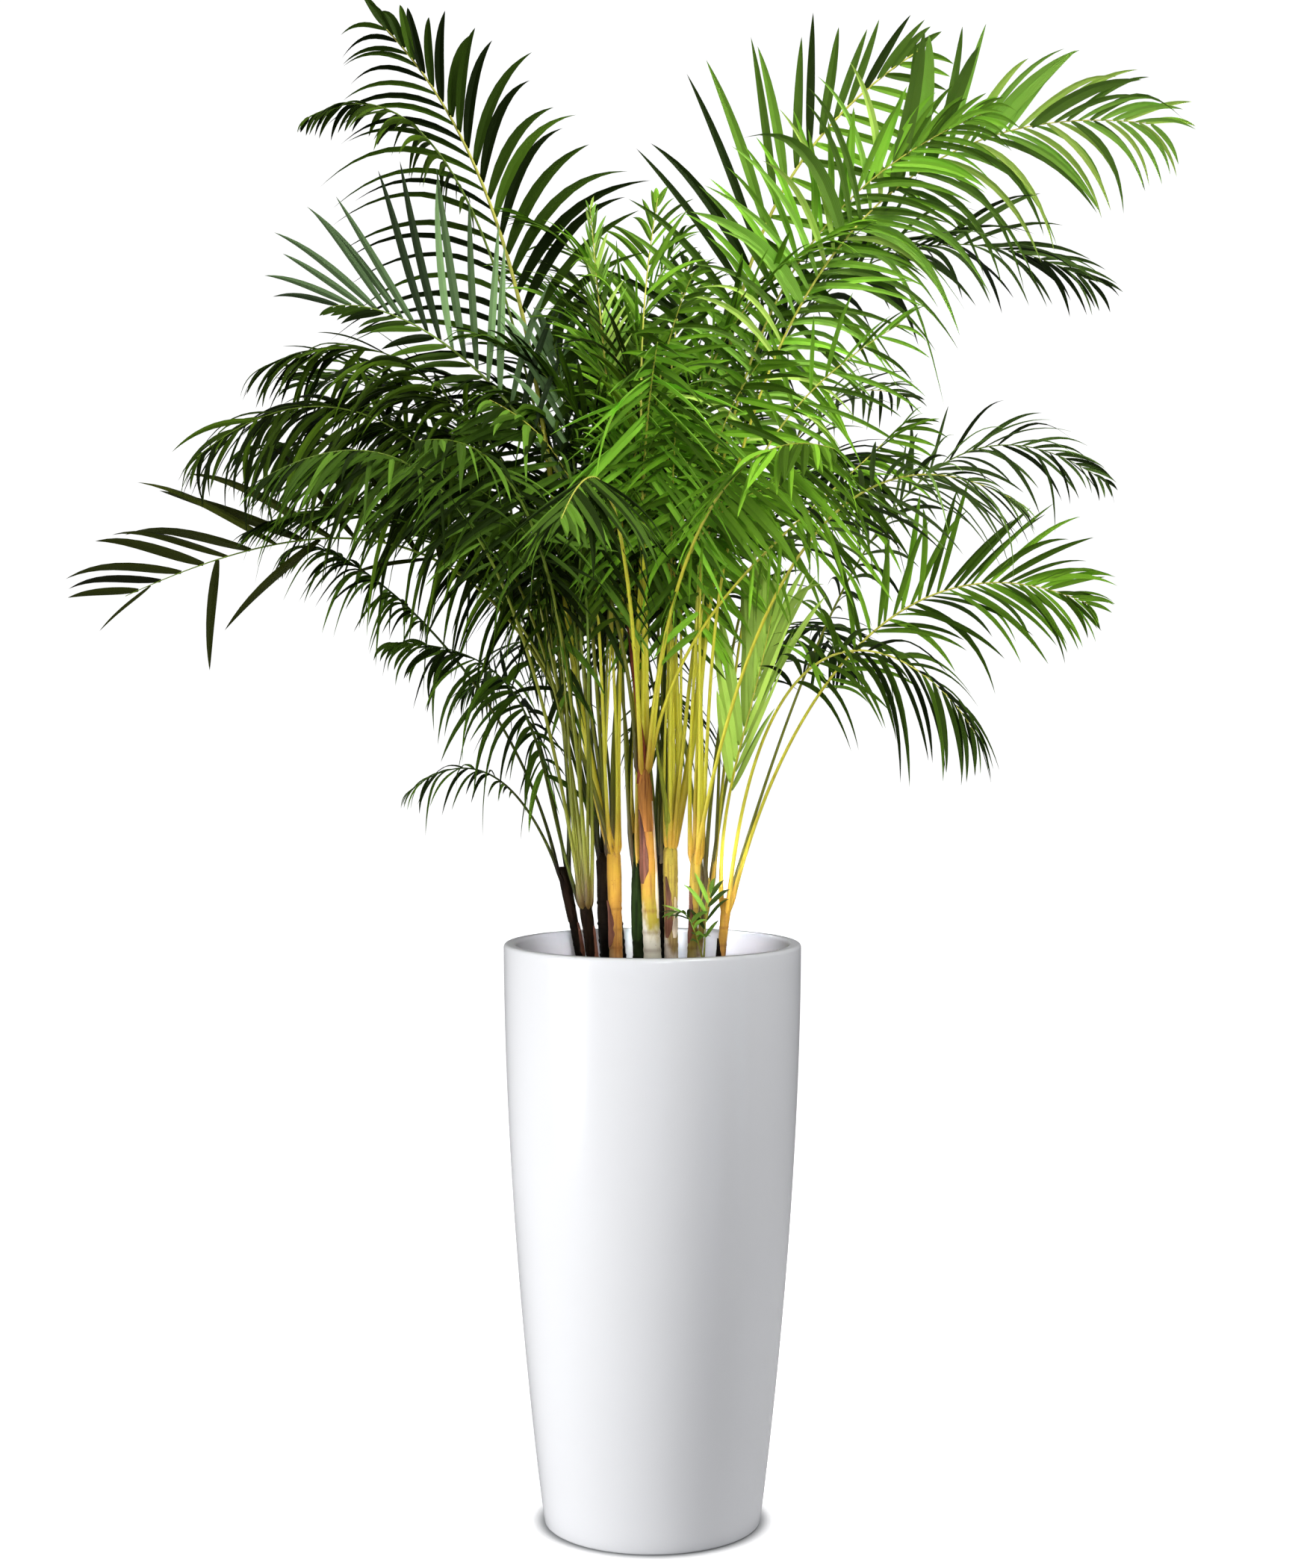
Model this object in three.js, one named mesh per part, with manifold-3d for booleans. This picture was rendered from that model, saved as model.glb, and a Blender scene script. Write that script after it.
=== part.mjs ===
// A potted areca palm: a clump of cane stems with arching feather fronds, in a tall round tapered planter.
// Millimetres, +Z up, origin at the centre of the planter's underside, front along -Y.
import * as THREE from "three";
import { mergeVertices } from "three/addons/utils/BufferGeometryUtils.js";
import Module from "manifold-3d";

const wasm = await Module();
wasm.setup();

// Planter
const POT_HEIGHT = 790;
const POT_FOOT_R = 147;
const POT_RIM_R = 200.5;
const POT_SWELL = 1.83; // how early the side bows out to the rim's radius
const POT_WALL = 17;
const POT_FLOOR = 25;
const POT_SIDES = 48;
const LIP_ROUND = 5;
const SOIL_TOP = 740;
const GAP = 0.3; // clearance between pieces that rest on each other

// Canes
const CANE_FOOT_R = 9.5;
const CANE_TOP_R = 12.5;
const CANE_SIDES = 10;
const SPEAR_R = 2.8;
const SPEAR_LEAN = 16;

// Frond ribs and leaflets
const PETIOLE_HALF = 3.4;
const RIB_TIP_HALF = 1.3;
const LEAF_WIDTH = 30;
const LEAF_THICK = 2.6;
const LEAF_BEND = 0.4; // where along a leaflet its widest section lies
const LONGEST_AT = 0.36;
const FOOT_SHARE = 0.55;
const TIP_SHARE = 0.25;
const FOOT_TURN = 62;
const TIP_TURN = 24;
const CLEAR = 1.2; // how much wider the space round a leaflet is kept free

const rad = THREE.MathUtils.degToRad;
const UP = new THREE.Vector3(0, 0, 1);

// Canes: where each meets the soil, where its crownshaft ends, and the radius its petioles stand on.
const canes = [
  { name: "cane_01", foot: [-92, 20], top: [-122, 28, 890], seat: 8 },
  { name: "cane_02", foot: [-76, -34], top: [-90, -44, 850], seat: 8 },
  { name: "cane_03", foot: [-52, 62], top: [-66, 78, 905], seat: 8 },
  { name: "cane_04", foot: [-48, -10], top: [-52, -12, 920], seat: 8 },
  { name: "cane_05", foot: [2, -38], top: [-12, -42, 1030], seat: 9, spear: 195 },
  { name: "cane_06", foot: [26, 12], top: [24, 14, 925], seat: 8, spear: 150 },
  { name: "cane_07", foot: [52, -22], top: [58, -28, 912], seat: 8 },
  { name: "cane_08", foot: [90, 14], top: [101, 18, 848], seat: 8 },
  { name: "cane_09", foot: [8, 84], top: [14, 100, 900], seat: 8 },
  { name: "cane_10", foot: [60, 66], top: [76, 84, 870], seat: 8 },
  { name: "cane_11", foot: [-16, 34], top: [-22, 40, 935], seat: 8 },
  { name: "cane_12", foot: [66, -50], top: [68, -52, 770], seat: 0, slim: 0.4 },
];

// A frond's place is its cane, the compass angle where it sits on that cane's top, its heading, how far out and
// how high its rib ends, the rib's lean from upright at its foot (launch) and its slope above level at its tip
// (nod), all angles in degrees. rise and fall stretch the rib's lower and upper bend, bare is its leafless
// share, roll turns the blade about the rib, keel lifts both sides, skew turns them unevenly, and lop makes one
// side shorter. leaf is the longest leaflet, sag how far it droops, and spread scales its angle to the rib.
const PLACE = ["cane", "seat", "heading", "reach", "tip", "launch", "nod"];
const usual = {
  rise: 0.5, fall: 0.4, bare: 0.4, roll: 0, keel: 10, skew: 0, lop: 0,
  leaf: 210, sag: 0.3, spread: 1, pairs: 10, wide: 1,
};
const arching = { rise: 0.55, fall: 0.45, sag: 0.35 };
const low = { rise: 0.6, fall: 0.5, bare: 0.42, keel: 5, leaf: 200, sag: 0.4 };
const placeOf = (values) => Object.fromEntries(PLACE.map((key, i) => [key, values[i]]));
const frond = (place, own) => ({ ...usual, ...placeOf(place), ...own });
const fronds = [
  // to the left
  frond([4, 120, 180, 310, 2015, 17, 45], {
    rise: 0.3, fall: 0.33, bare: 0.36, roll: 78, keel: 8, skew: -5, lop: -0.08, leaf: 300, sag: 0.35,
  }),
  frond([5, 190, 182, 412, 1634, 2, -13], {
    rise: 0.58, fall: 0.17, bare: 0.58, roll: -75, keel: 15, lop: -0.5,
    leaf: 190, sag: 0.08, spread: 0.8, pairs: 9,
  }),
  frond([2, 95, 178, 515, 1440, 2, -40], { rise: 0.62, fall: 0.42, roll: -40, keel: 5, leaf: 235, sag: 0.35 }),
  frond([3, 200, 172, 510, 1466, 14, -10], { roll: -20, keel: 5, sag: 0.4 }),
  frond([4, -120, 184, 645, 1255, 14, -25], {
    rise: 0.66, fall: 0.45, bare: 0.45, roll: -20, keel: 15, leaf: 240, sag: 0.06, spread: 0.8,
  }),
  frond([1, 150, 180, 377, 1303, 12, -80], {
    rise: 0.55, fall: 0.17, bare: 0.6, roll: -10, keel: 0, leaf: 110, sag: 0.7, pairs: 8, wide: 0.6,
  }),
  frond([2, 175, 176, 262, 1194, 19, 0], {
    rise: 0.48, fall: 0.52, bare: 0.35, roll: -30, leaf: 150, pairs: 8, wide: 0.7,
  }),
  frond([1, -150, 184, 212, 990, 22, -40], {
    rise: 0.6, fall: 0.5, roll: -10, keel: 0, leaf: 70, sag: 0.5, pairs: 6, wide: 0.5,
  }),
  // to the right
  frond([6, 50, 2, 332, 1985, 13, 33], { rise: 0.41, fall: 0.39, bare: 0.38, roll: -75, leaf: 240, sag: 0.1 }),
  frond([7, 100, -2, 600, 1873, 0, -8], {
    rise: 0.57, fall: 0.36, roll: -50, leaf: 250, sag: 0.24, spread: 1.12,
  }),
  frond([6, -60, -14, 420, 1880, 6, 20], { fall: 0.35, roll: -60, leaf: 220 }),
  frond([10, -110, 5, 533, 1695, -4, -27], { rise: 0.95, fall: 0.24, bare: 0.45, roll: -20, leaf: 220 }),
  frond([7, -20, -10, 270, 1610, 3, 30], { roll: -40, wide: 0.8 }),
  frond([5, 20, -14, 350, 1480, 9, 45], { rise: 0.4, fall: 0.35, bare: 0.42, roll: -20, leaf: 200 }),
  frond([8, 70, 4, 520, 1410, 17, -35], {
    rise: 0.57, fall: 0.42, bare: 0.45, roll: -30, leaf: 160, pairs: 9, wide: 0.6,
  }),
  frond([8, 0, -6, 484, 1244, 14, -25], {
    rise: 0.44, fall: 0.45, bare: 0.45, roll: -45, keel: 15, leaf: 180, sag: 0.2,
  }),
  frond([8, -75, -14, 340, 1066, 6, -62], {
    rise: 1.2, fall: 0.35, bare: 0.48, roll: -35, keel: 0, leaf: 150, sag: 0.6, pairs: 9, wide: 0.7,
  }),
  // upright in the middle
  frond([11, -80, -85, 330, 1560, 3, 20], { bare: 0.35, keel: 20, leaf: 220 }),
  frond([5, 120, 185, 70, 1765, 3, 85], {
    rise: 0.38, fall: 0.38, bare: 0.5, roll: 60, keel: 30, leaf: 105, sag: 0, spread: 0.6, pairs: 9, wide: 0.5,
  }),
  frond([8, 180, -10, 42, 1225, -2, 80], {
    rise: 0.38, fall: 0.38, bare: 0.45, roll: 60, keel: 30, leaf: 190, sag: 0, spread: 0.35, pairs: 6,
  }),
  frond([12, 10, 10, 32, 905, 10, 60], {
    rise: 0.38, fall: 0.38, bare: 0.3, roll: 60, leaf: 60, sag: 0.1, pairs: 5, wide: 0.4, slim: 0.5,
  }),
  // on the far side
  frond([9, -90, 90, 520, 1500, 6, -20], { ...arching, roll: 10, leaf: 220 }),
  frond([10, 120, 62, 560, 1400, 8, -35], { ...arching, roll: -15, leaf: 220 }),
  frond([3, 60, 122, 560, 1420, 8, -30], { ...arching, roll: 15, leaf: 220 }),
  frond([10, -20, 45, 430, 1560, 8, -10], { roll: -20 }),
  frond([3, -60, 146, 540, 1580, 8, -5], { roll: 20, leaf: 220 }),
  frond([9, 20, 72, 280, 1640, 4, 25], { rise: 0.45, bare: 0.38, roll: -10, keel: 15 }),
  frond([9, 150, 106, 600, 1220, 14, -40], { ...low, roll: 10 }),
  frond([10, 48, 62, 480, 1150, 16, -40], { ...low, roll: -10 }),
  frond([3, 136, 118, 450, 1120, 18, -40], { ...low, roll: 10 }),
  frond([9, 88, 88, 420, 1040, 22, -45], { ...low, leaf: 150, pairs: 9 }),
  frond([11, 120, 108, 360, 1230, 9, -45], { ...low, roll: 5, leaf: 190, pairs: 9 }),
  frond([10, 190, 112, 440, 1160, 13, -45], { ...low, roll: 5, leaf: 180, pairs: 9 }),
  frond([1, 50, 150, 170, 1120, 13, -40], { ...low, roll: 5, leaf: 160, pairs: 8 }),
  // on the near side
  frond([5, -50, -58, 430, 1420, 8, -15], { bare: 0.38, roll: -15, sag: 0.35 }),
  frond([2, -60, -118, 400, 1430, 6, -10], { rise: 0.55, bare: 0.38, roll: 15, sag: 0.35 }),
  frond([7, -80, -34, 480, 1360, 12, -30], { ...arching, roll: -20, leaf: 200 }),
  frond([2, -120, -146, 470, 1390, 10, -30], { ...arching, roll: 15 }),
  frond([5, -110, -100, 520, 1330, 12, -30], { ...arching, rise: 0.6, roll: 5, leaf: 200 }),
  frond([11, 0, -72, 240, 1660, 4, 30], { rise: 0.45, bare: 0.38, keel: 15 }),
];

const glossWhite = new THREE.MeshStandardMaterial({ color: 0xe6e7ea, roughness: 0.22, metalness: 0 });
const earth = new THREE.MeshStandardMaterial({ color: 0x2c2018, roughness: 0.95, metalness: 0 });
const caneSkin = new THREE.MeshStandardMaterial({ color: 0x8c7a2e, roughness: 0.55, metalness: 0 });
const spearSkin = new THREE.MeshStandardMaterial({ color: 0x7a4a2c, roughness: 0.6, metalness: 0 });
const leafSkin = new THREE.MeshStandardMaterial({ color: 0x3a6418, roughness: 0.42, metalness: 0 });

const palm = new THREE.Group();

function addMesh(name, geometry, material) {
  const mesh = new THREE.Mesh(geometry, material);
  mesh.name = name;
  palm.add(mesh);
}

// A closed body from a list of points and of triangles that index them.
function bodyOf(points, triangles) {
  const geometry = new THREE.BufferGeometry();
  geometry.setAttribute("position", new THREE.Float32BufferAttribute(points.flatMap((p) => p.toArray()), 3));
  geometry.setIndex(triangles.flat());
  return geometry;
}

function solidOf(geometry) {
  const merged = mergeVertices(geometry.clone(), 1e-3);
  return new wasm.Manifold(
    new wasm.Mesh({
      numProp: 3,
      vertProperties: merged.attributes.position.array,
      triVerts: new Uint32Array(merged.index.array),
    }),
  );
}

// Planter: outer radius at a height above the floor.
function potRadius(z) {
  return POT_FOOT_R + (POT_RIM_R - POT_FOOT_R) * (1 - Math.pow(1 - z / POT_HEIGHT, POT_SWELL));
}

function turned(profile) {
  const lathe = new THREE.LatheGeometry(profile.map(([r, z]) => new THREE.Vector2(r, z)), POT_SIDES);
  lathe.rotateX(Math.PI / 2);
  return lathe;
}

const wallHeights = [60, 140, 240, 350, 470, 600, SOIL_TOP];
const potProfile = [
  [0, 0],
  [POT_FOOT_R - 4, 0],
  [potRadius(8), 8],
  ...wallHeights.map((z) => [potRadius(z), z]),
  [POT_RIM_R, POT_HEIGHT - LIP_ROUND],
  [POT_RIM_R - LIP_ROUND, POT_HEIGHT],
  [POT_RIM_R - POT_WALL + LIP_ROUND, POT_HEIGHT],
  [POT_RIM_R - POT_WALL, POT_HEIGHT - LIP_ROUND],
  ...wallHeights.toReversed().map((z) => [potRadius(z) - POT_WALL, z]),
  [potRadius(POT_FLOOR) - POT_WALL, POT_FLOOR],
  [0, POT_FLOOR],
];
addMesh("pot", turned(potProfile), glossWhite);

const soilProfile = [
  [0, POT_FLOOR + GAP],
  [potRadius(POT_FLOOR) - POT_WALL - GAP, POT_FLOOR + GAP],
  ...wallHeights.map((z) => [potRadius(z) - POT_WALL - GAP, z]),
  [0, SOIL_TOP],
];
addMesh("soil", turned(soilProfile), earth);

// A stack of level rings of the same count, closed at both ends.
function stack(rings) {
  const points = [];
  const triangles = [];
  const n = CANE_SIDES;
  for (const { x, y, z, r } of rings)
    for (let k = 0; k < n; k += 1) {
      const turn = (2 * Math.PI * k) / n;
      points.push(new THREE.Vector3(x + r * Math.cos(turn), y + r * Math.sin(turn), z));
    }
  for (let i = 0; i + 1 < rings.length; i += 1)
    for (let k = 0; k < n; k += 1) {
      const a = i * n + k;
      const b = i * n + ((k + 1) % n);
      triangles.push([a, b, b + n], [a, b + n, a + n]);
    }
  const last = (rings.length - 1) * n;
  for (let k = 1; k + 1 < n; k += 1) triangles.push([0, k + 1, k], [last, last + k, last + k + 1]);
  return bodyOf(points, triangles);
}

// Canes rise from the soil and swell a little into the crownshaft that carries the petioles.
const placed = [];
for (const cane of canes) {
  const slim = cane.slim ?? 1;
  const [x0, y0] = cane.foot;
  const [x1, y1, z1] = cane.top;
  const z0 = SOIL_TOP + GAP;
  const rings = [
    [0, 1.25],
    [0.12, 1],
    [0.55, 1.02],
    [0.8, CANE_TOP_R / CANE_FOOT_R],
    [1, CANE_TOP_R / CANE_FOOT_R],
  ].map(([t, k]) => ({
    x: x0 + (x1 - x0) * t,
    y: y0 + (y1 - y0) * t,
    z: z0 + (z1 - z0) * t,
    r: CANE_FOOT_R * k * slim,
  }));
  const shape = stack(rings);
  addMesh(cane.name, shape, caneSkin);
  placed.push(solidOf(shape));
  if (cane.spear) {
    const foot = z1 + GAP;
    const spear = stack([
      { x: x1, y: y1, z: foot, r: SPEAR_R },
      { x: x1 - SPEAR_LEAN * 0.45, y: y1, z: foot + cane.spear * 0.55, r: SPEAR_R * 0.8 },
      { x: x1 - SPEAR_LEAN, y: y1, z: foot + cane.spear, r: SPEAR_R * 0.35 },
    ]);
    addMesh(cane.name.replace("cane", "spear"), spear, spearSkin);
    placed.push(solidOf(spear));
  }
}

// The rib's centre line: it leaves the cane at the launch angle and bends over to the nod at its tip.
function ribCurve(f) {
  const cane = canes[f.cane - 1];
  const top = new THREE.Vector3(...cane.top);
  const heading = rad(f.heading);
  const out = new THREE.Vector3(Math.cos(heading), Math.sin(heading), 0);
  const seat = rad(f.seat);
  const foot = top
    .clone()
    .add(new THREE.Vector3(cane.seat * Math.cos(seat), cane.seat * Math.sin(seat), GAP));
  const tip = top.clone().addScaledVector(out, f.reach).setZ(f.tip);
  const chord = tip.distanceTo(foot);
  const slope = (angle) =>
    out.clone().multiplyScalar(Math.cos(rad(angle))).addScaledVector(UP, Math.sin(rad(angle)));
  return new THREE.CubicBezierCurve3(
    foot,
    foot.clone().addScaledVector(slope(90 - f.launch), f.rise * chord),
    tip.clone().addScaledVector(slope(f.nod), -f.fall * chord),
    tip,
  );
}

// The blade's own axes at a place on the rib: along it, to the side, and out of the upper face.
function axesAt(f, curve, s) {
  const heading = rad(f.heading);
  const along = curve.getTangentAt(s);
  const level = new THREE.Vector3(-Math.sin(heading), Math.cos(heading), 0);
  const face = new THREE.Vector3().crossVectors(along, level).normalize();
  const side = new THREE.Vector3().crossVectors(face, along);
  const roll = rad(f.roll);
  return {
    along,
    side: side.clone().multiplyScalar(Math.cos(roll)).addScaledVector(face, Math.sin(roll)),
    face: face.clone().multiplyScalar(Math.cos(roll)).addScaledVector(side, -Math.sin(roll)),
  };
}

// Leaflet length along the blade, as a share of the longest, which stands a third of the way up.
function leafShare(u) {
  if (u < LONGEST_AT) return FOOT_SHARE + ((1 - FOOT_SHARE) * u) / LONGEST_AT;
  return TIP_SHARE + (1 - TIP_SHARE) * (1 - Math.pow((u - LONGEST_AT) / (1 - LONGEST_AT), 1.6));
}

// Degrees between a leaflet and the rib: wide open at the foot of the blade, half closed at its tip.
const leafTurn = (u) => FOOT_TURN - (FOOT_TURN - TIP_TURN) * Math.pow(u, 1.3);

// Three corners of the rib's section: a flat top edge each side and a keel below.
function ribSection(f, curve, s) {
  const { side, face } = axesAt(f, curve, s);
  const blade = Math.max(0, (s - f.bare) / (1 - f.bare));
  const taper = 0.15 * Math.min(1, s / f.bare) + 0.85 * blade;
  const half = THREE.MathUtils.lerp(PETIOLE_HALF, RIB_TIP_HALF, taper) * (f.slim ?? 1);
  const centre = curve.getPointAt(s);
  const corner = (a, b) => centre.clone().addScaledVector(side, a * half).addScaledVector(face, b * half);
  const ring = [corner(-1, 0.6), corner(0, -1.1), corner(1, 0.6)];
  if (s === 0) ring.forEach((p) => p.setZ(centre.z));
  return ring;
}

// One leaflet: four corners at its root on the rib, four at its widest section, and its tip.
function leaflet(f, curve, s, u, hand, root, change) {
  const { along, side, face } = axesAt(f, curve, s);
  const turn = rad(leafTurn(u) * f.spread + hand * f.skew + change.turn);
  const keel = rad(f.keel + change.keel);
  const way = along
    .clone()
    .multiplyScalar(Math.cos(turn))
    .addScaledVector(side, Math.sin(turn) * Math.cos(keel) * hand)
    .addScaledVector(face, Math.sin(turn) * Math.sin(keel));
  const length = f.leaf * leafShare(u) * (1 + hand * f.lop) * change.length;
  const start = curve.getPointAt(s);
  const at = (v) => start.clone().addScaledVector(way, length * v).addScaledVector(UP, -length * f.sag * v * v);
  const middle = at(LEAF_BEND);
  const tip = at(1);
  const line = tip.clone().sub(start).normalize();
  const across = along.clone().addScaledVector(line, -along.dot(line)).normalize();
  const normal = new THREE.Vector3().crossVectors(line, across);
  if (normal.dot(face) < 0) normal.negate();
  const spacing = (curve.getLength() * (1 - f.bare)) / f.pairs;
  const widest = Math.min(LEAF_WIDTH * f.wide, 0.8 * spacing * Math.sin(Math.abs(turn)), length * 0.4);
  const w = (widest + change.grow) / 2;
  const h = (Math.min(LEAF_THICK, length * 0.02) + change.grow) / 2;
  const corner = (a, b) => middle.clone().addScaledVector(across, a * w).addScaledVector(normal, b * h);
  return { root, middle: [corner(-1, 1), corner(1, 1), corner(1, -1), corner(-1, -1)], tip };
}

// Faces of a leaflet, with point numbers for its root, its widest section and its tip.
function leafletFaces(root, middle, tip, hand) {
  const faces = [];
  for (let k = 0; k < 4; k += 1) {
    const next = (k + 1) % 4;
    faces.push([root[k], root[next], middle[next]], [root[k], middle[next], middle[k]]);
    faces.push([middle[k], middle[next], tip]);
  }
  return hand > 0 ? faces : faces.map(([a, b, c]) => [a, c, b]);
}

function leafletSolid(leaf, hand) {
  const faces = leafletFaces([0, 1, 2, 3], [4, 5, 6, 7], 8, hand);
  const base = hand > 0 ? [[0, 2, 1], [0, 3, 2]] : [[0, 1, 2], [0, 2, 3]];
  return solidOf(bodyOf([...leaf.root, ...leaf.middle, leaf.tip], [...faces, ...base]));
}

function boxesMeet(a, b) {
  for (let k = 0; k < 3; k += 1) if (a.min[k] > b.max[k] || b.min[k] > a.max[k]) return false;
  return true;
}

function hits(solid, others) {
  const box = solid.boundingBox();
  return others.some(({ body, bounds }) => boxesMeet(box, bounds) && body.intersect(solid).volume() > 1e-4);
}

const keep = (body) => ({ body, bounds: body.boundingBox() });

// The stations of a frond's rib: bare petiole, then a short seat for each pair of leaflets.
function stationsOf(f, length) {
  const stations = [0, 0.25, 0.5, 0.75].map((k) => ({ s: k * f.bare }));
  for (let i = 0; i < f.pairs; i += 1) {
    const u = (i + 0.5) / f.pairs;
    const s = f.bare + (1 - f.bare) * u;
    const half = (8.5 - 4 * u) / length;
    stations.push({ s: s - half, pair: { s, u } }, { s: s + half });
  }
  stations.push({ s: 1 });
  return stations;
}

// A frond's rib and its chosen leaflets as one closed body.
function frondBody(sections, leaves) {
  const points = sections.flat();
  const faces = [];
  const n = sections.length;
  for (let i = 0; i + 1 < n; i += 1) {
    const at = i * 3;
    for (let k = 0; k < 3; k += 1) {
      const next = (k + 1) % 3;
      const hand = k === 0 ? -1 : k === 1 ? 1 : 0;
      const leaf = hand && leaves.find((l) => l.station === i && l.hand === hand);
      if (leaf) {
        const first = points.length;
        points.push(...leaf.middle, leaf.tip);
        const edge = hand < 0 ? [at, at + 3, at + 4, at + 1] : [at + 2, at + 5, at + 4, at + 1];
        faces.push(...leafletFaces(edge, [first, first + 1, first + 2, first + 3], first + 4, hand));
      } else faces.push([at + k, at + next, at + 3 + next], [at + k, at + 3 + next, at + 3 + k]);
    }
  }
  const last = (n - 1) * 3;
  faces.push([0, 2, 1], [last, last + 1, last + 2]);
  return bodyOf(points, faces);
}

// Ribs come first, so that every leaflet is tried against all of them.
const grown = fronds.map((f) => {
  const curve = ribCurve(f);
  const stations = stationsOf(f, curve.getLength());
  const sections = stations.map(({ s }) => ribSection(f, curve, s));
  return { f, curve, stations, sections, rib: keep(solidOf(frondBody(sections, []))) };
});
const obstacles = placed.map(keep);
const leafBodies = [];

// A leaflet that would touch something is tried a little higher, lower, turned or shorter, then left out.
// Each change is degrees of keel, degrees of turn and a share of the length.
const changes = [
  [0, 0, 1], [9, 0, 1], [-9, 0, 1], [0, 7, 1], [0, -7, 1], [18, 0, 1], [-18, 0, 1],
  [9, 7, 0.9], [-9, -7, 0.9], [0, 0, 0.8], [26, 0, 0.85], [-26, 0, 0.85],
  [12, 0, 0.7], [-12, 0, 0.7], [0, 0, 0.55], [20, 0, 0.5], [-20, 0, 0.5],
];
grown.forEach((g, index) => {
  const { f, curve, stations, sections } = g;
  const leaves = [];
  const around = [...obstacles, ...grown.filter((o) => o !== g).map((o) => o.rib)];
  stations.forEach(({ pair }, i) => {
    if (!pair) return;
    for (const hand of [1, -1]) {
      const [a, b] = [sections[i], sections[i + 1]];
      const root = hand < 0 ? [a[0], b[0], b[1], a[1]] : [a[2], b[2], b[1], a[1]];
      const fit = changes.find(([keel, turn, length]) => {
        const wider = leaflet(f, curve, pair.s, pair.u, hand, root, { keel, turn, length, grow: CLEAR });
        const off = new THREE.Vector3().subVectors(wider.tip, root[0]).normalize().multiplyScalar(1.5);
        wider.root = root.map((p) => p.clone().add(off));
        const trial = leafletSolid(wider, hand);
        return !hits(trial, around) && !hits(trial, leafBodies) && !hits(trial, [g.rib]);
      });
      if (!fit) continue;
      const [keel, turn, length] = fit;
      const leaf = leaflet(f, curve, pair.s, pair.u, hand, root, { keel, turn, length, grow: 0 });
      leafBodies.push(keep(leafletSolid(leaf, hand)));
      leaves.push({ ...leaf, station: i, hand });
    }
  });
  addMesh(`frond_${String(index + 1).padStart(2, "0")}`, frondBody(sections, leaves), leafSkin);
});

export default palm;
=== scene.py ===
"""Potted areca palm: ringed canes with feather fronds in a tall gloss planter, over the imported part."""

import logging
import math
import random
from dataclasses import dataclass, field
from enum import Enum

import bmesh
import bpy
import numpy as np
from mathutils import Matrix, Vector, noise

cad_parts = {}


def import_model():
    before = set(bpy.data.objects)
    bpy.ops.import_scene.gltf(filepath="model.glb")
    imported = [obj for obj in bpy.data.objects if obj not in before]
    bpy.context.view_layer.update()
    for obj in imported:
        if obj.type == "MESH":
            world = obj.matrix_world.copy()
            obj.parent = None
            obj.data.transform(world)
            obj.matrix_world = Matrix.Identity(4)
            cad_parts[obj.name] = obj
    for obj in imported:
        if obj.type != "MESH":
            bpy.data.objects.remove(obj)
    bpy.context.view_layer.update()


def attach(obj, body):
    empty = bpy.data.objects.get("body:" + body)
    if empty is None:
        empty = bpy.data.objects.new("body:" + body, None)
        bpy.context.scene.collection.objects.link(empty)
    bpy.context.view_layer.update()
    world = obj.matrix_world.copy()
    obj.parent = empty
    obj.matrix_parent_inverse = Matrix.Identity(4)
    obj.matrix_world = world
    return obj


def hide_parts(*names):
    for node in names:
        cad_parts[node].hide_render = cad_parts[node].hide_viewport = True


log = logging.getLogger("areca_palm")

MM = 0.001
DOWN = np.array([0.0, 0.0, -1.0])
BODY = "root"
Colour = tuple[float, float, float, float]
WHITE: Colour = (1, 1, 1, 1)
BLACK: Colour = (0, 0, 0, 1)


def tint(red: float, green: float, blue: float) -> Colour:
    """Turn a colour given as screen values from 0 to 255 into a shader's linear colour.

    Args:
        red: The red part.
        green: The green part.
        blue: The blue part.

    Returns:
        Linear red, green, blue and an alpha of 1.
    """
    parts = [part / 255 for part in (red, green, blue)]
    linear = [p / 12.92 if p <= 0.04045 else ((p + 0.055) / 1.055) ** 2.4 for p in parts]
    return (*linear, 1.0)


def shaded(colour: Colour, share: float) -> Colour:
    """Return the colour with its light multiplied by a share."""
    return (*[min(1.0, part * share) for part in colour[:3]], 1.0)


class Flow:
    """An output socket that takes Python's arithmetic, where each sign adds a Math node."""

    def __init__(self, sheet: "Sheet", socket: bpy.types.NodeSocket) -> None:
        """Hold a socket and the sheet that its nodes are added to."""
        self.sheet = sheet
        self.socket = socket

    def _math(self, operation: str, first: "Flow | float", second: "Flow | float") -> "Flow":
        """Add one Math node on two values and return its result."""
        return self.sheet.add("ShaderNodeMath", {"operation": operation}, {0: first, 1: second})

    def __add__(self, other: "Flow | float") -> "Flow":
        """Return self + other."""
        return self._math("ADD", self, other)

    def __radd__(self, other: float) -> "Flow":
        """Return other + self."""
        return self._math("ADD", other, self)

    def __sub__(self, other: "Flow | float") -> "Flow":
        """Return self - other."""
        return self._math("SUBTRACT", self, other)

    def __rsub__(self, other: float) -> "Flow":
        """Return other - self."""
        return self._math("SUBTRACT", other, self)

    def __mul__(self, other: "Flow | float") -> "Flow":
        """Return self * other."""
        return self._math("MULTIPLY", self, other)

    def __rmul__(self, other: float) -> "Flow":
        """Return other * self."""
        return self._math("MULTIPLY", other, self)

    def __pow__(self, other: float) -> "Flow":
        """Return self to the power of other."""
        return self._math("POWER", self, other)

    def at_least(self, least: float) -> "Flow":
        """Return the larger of the value and a number."""
        return self._math("MAXIMUM", self, least)

    def at_most(self, most: float) -> "Flow":
        """Return the smaller of the value and a number."""
        return self._math("MINIMUM", self, most)

    def eased(self, low: float, high: float) -> "Flow":
        """Return 0 below low and 1 above high, with a smooth step between."""
        return self.sheet.add(
            "ShaderNodeMapRange",
            {"interpolation_type": "SMOOTHSTEP"},
            {"Value": self, "From Min": low, "From Max": high},
        )


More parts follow.
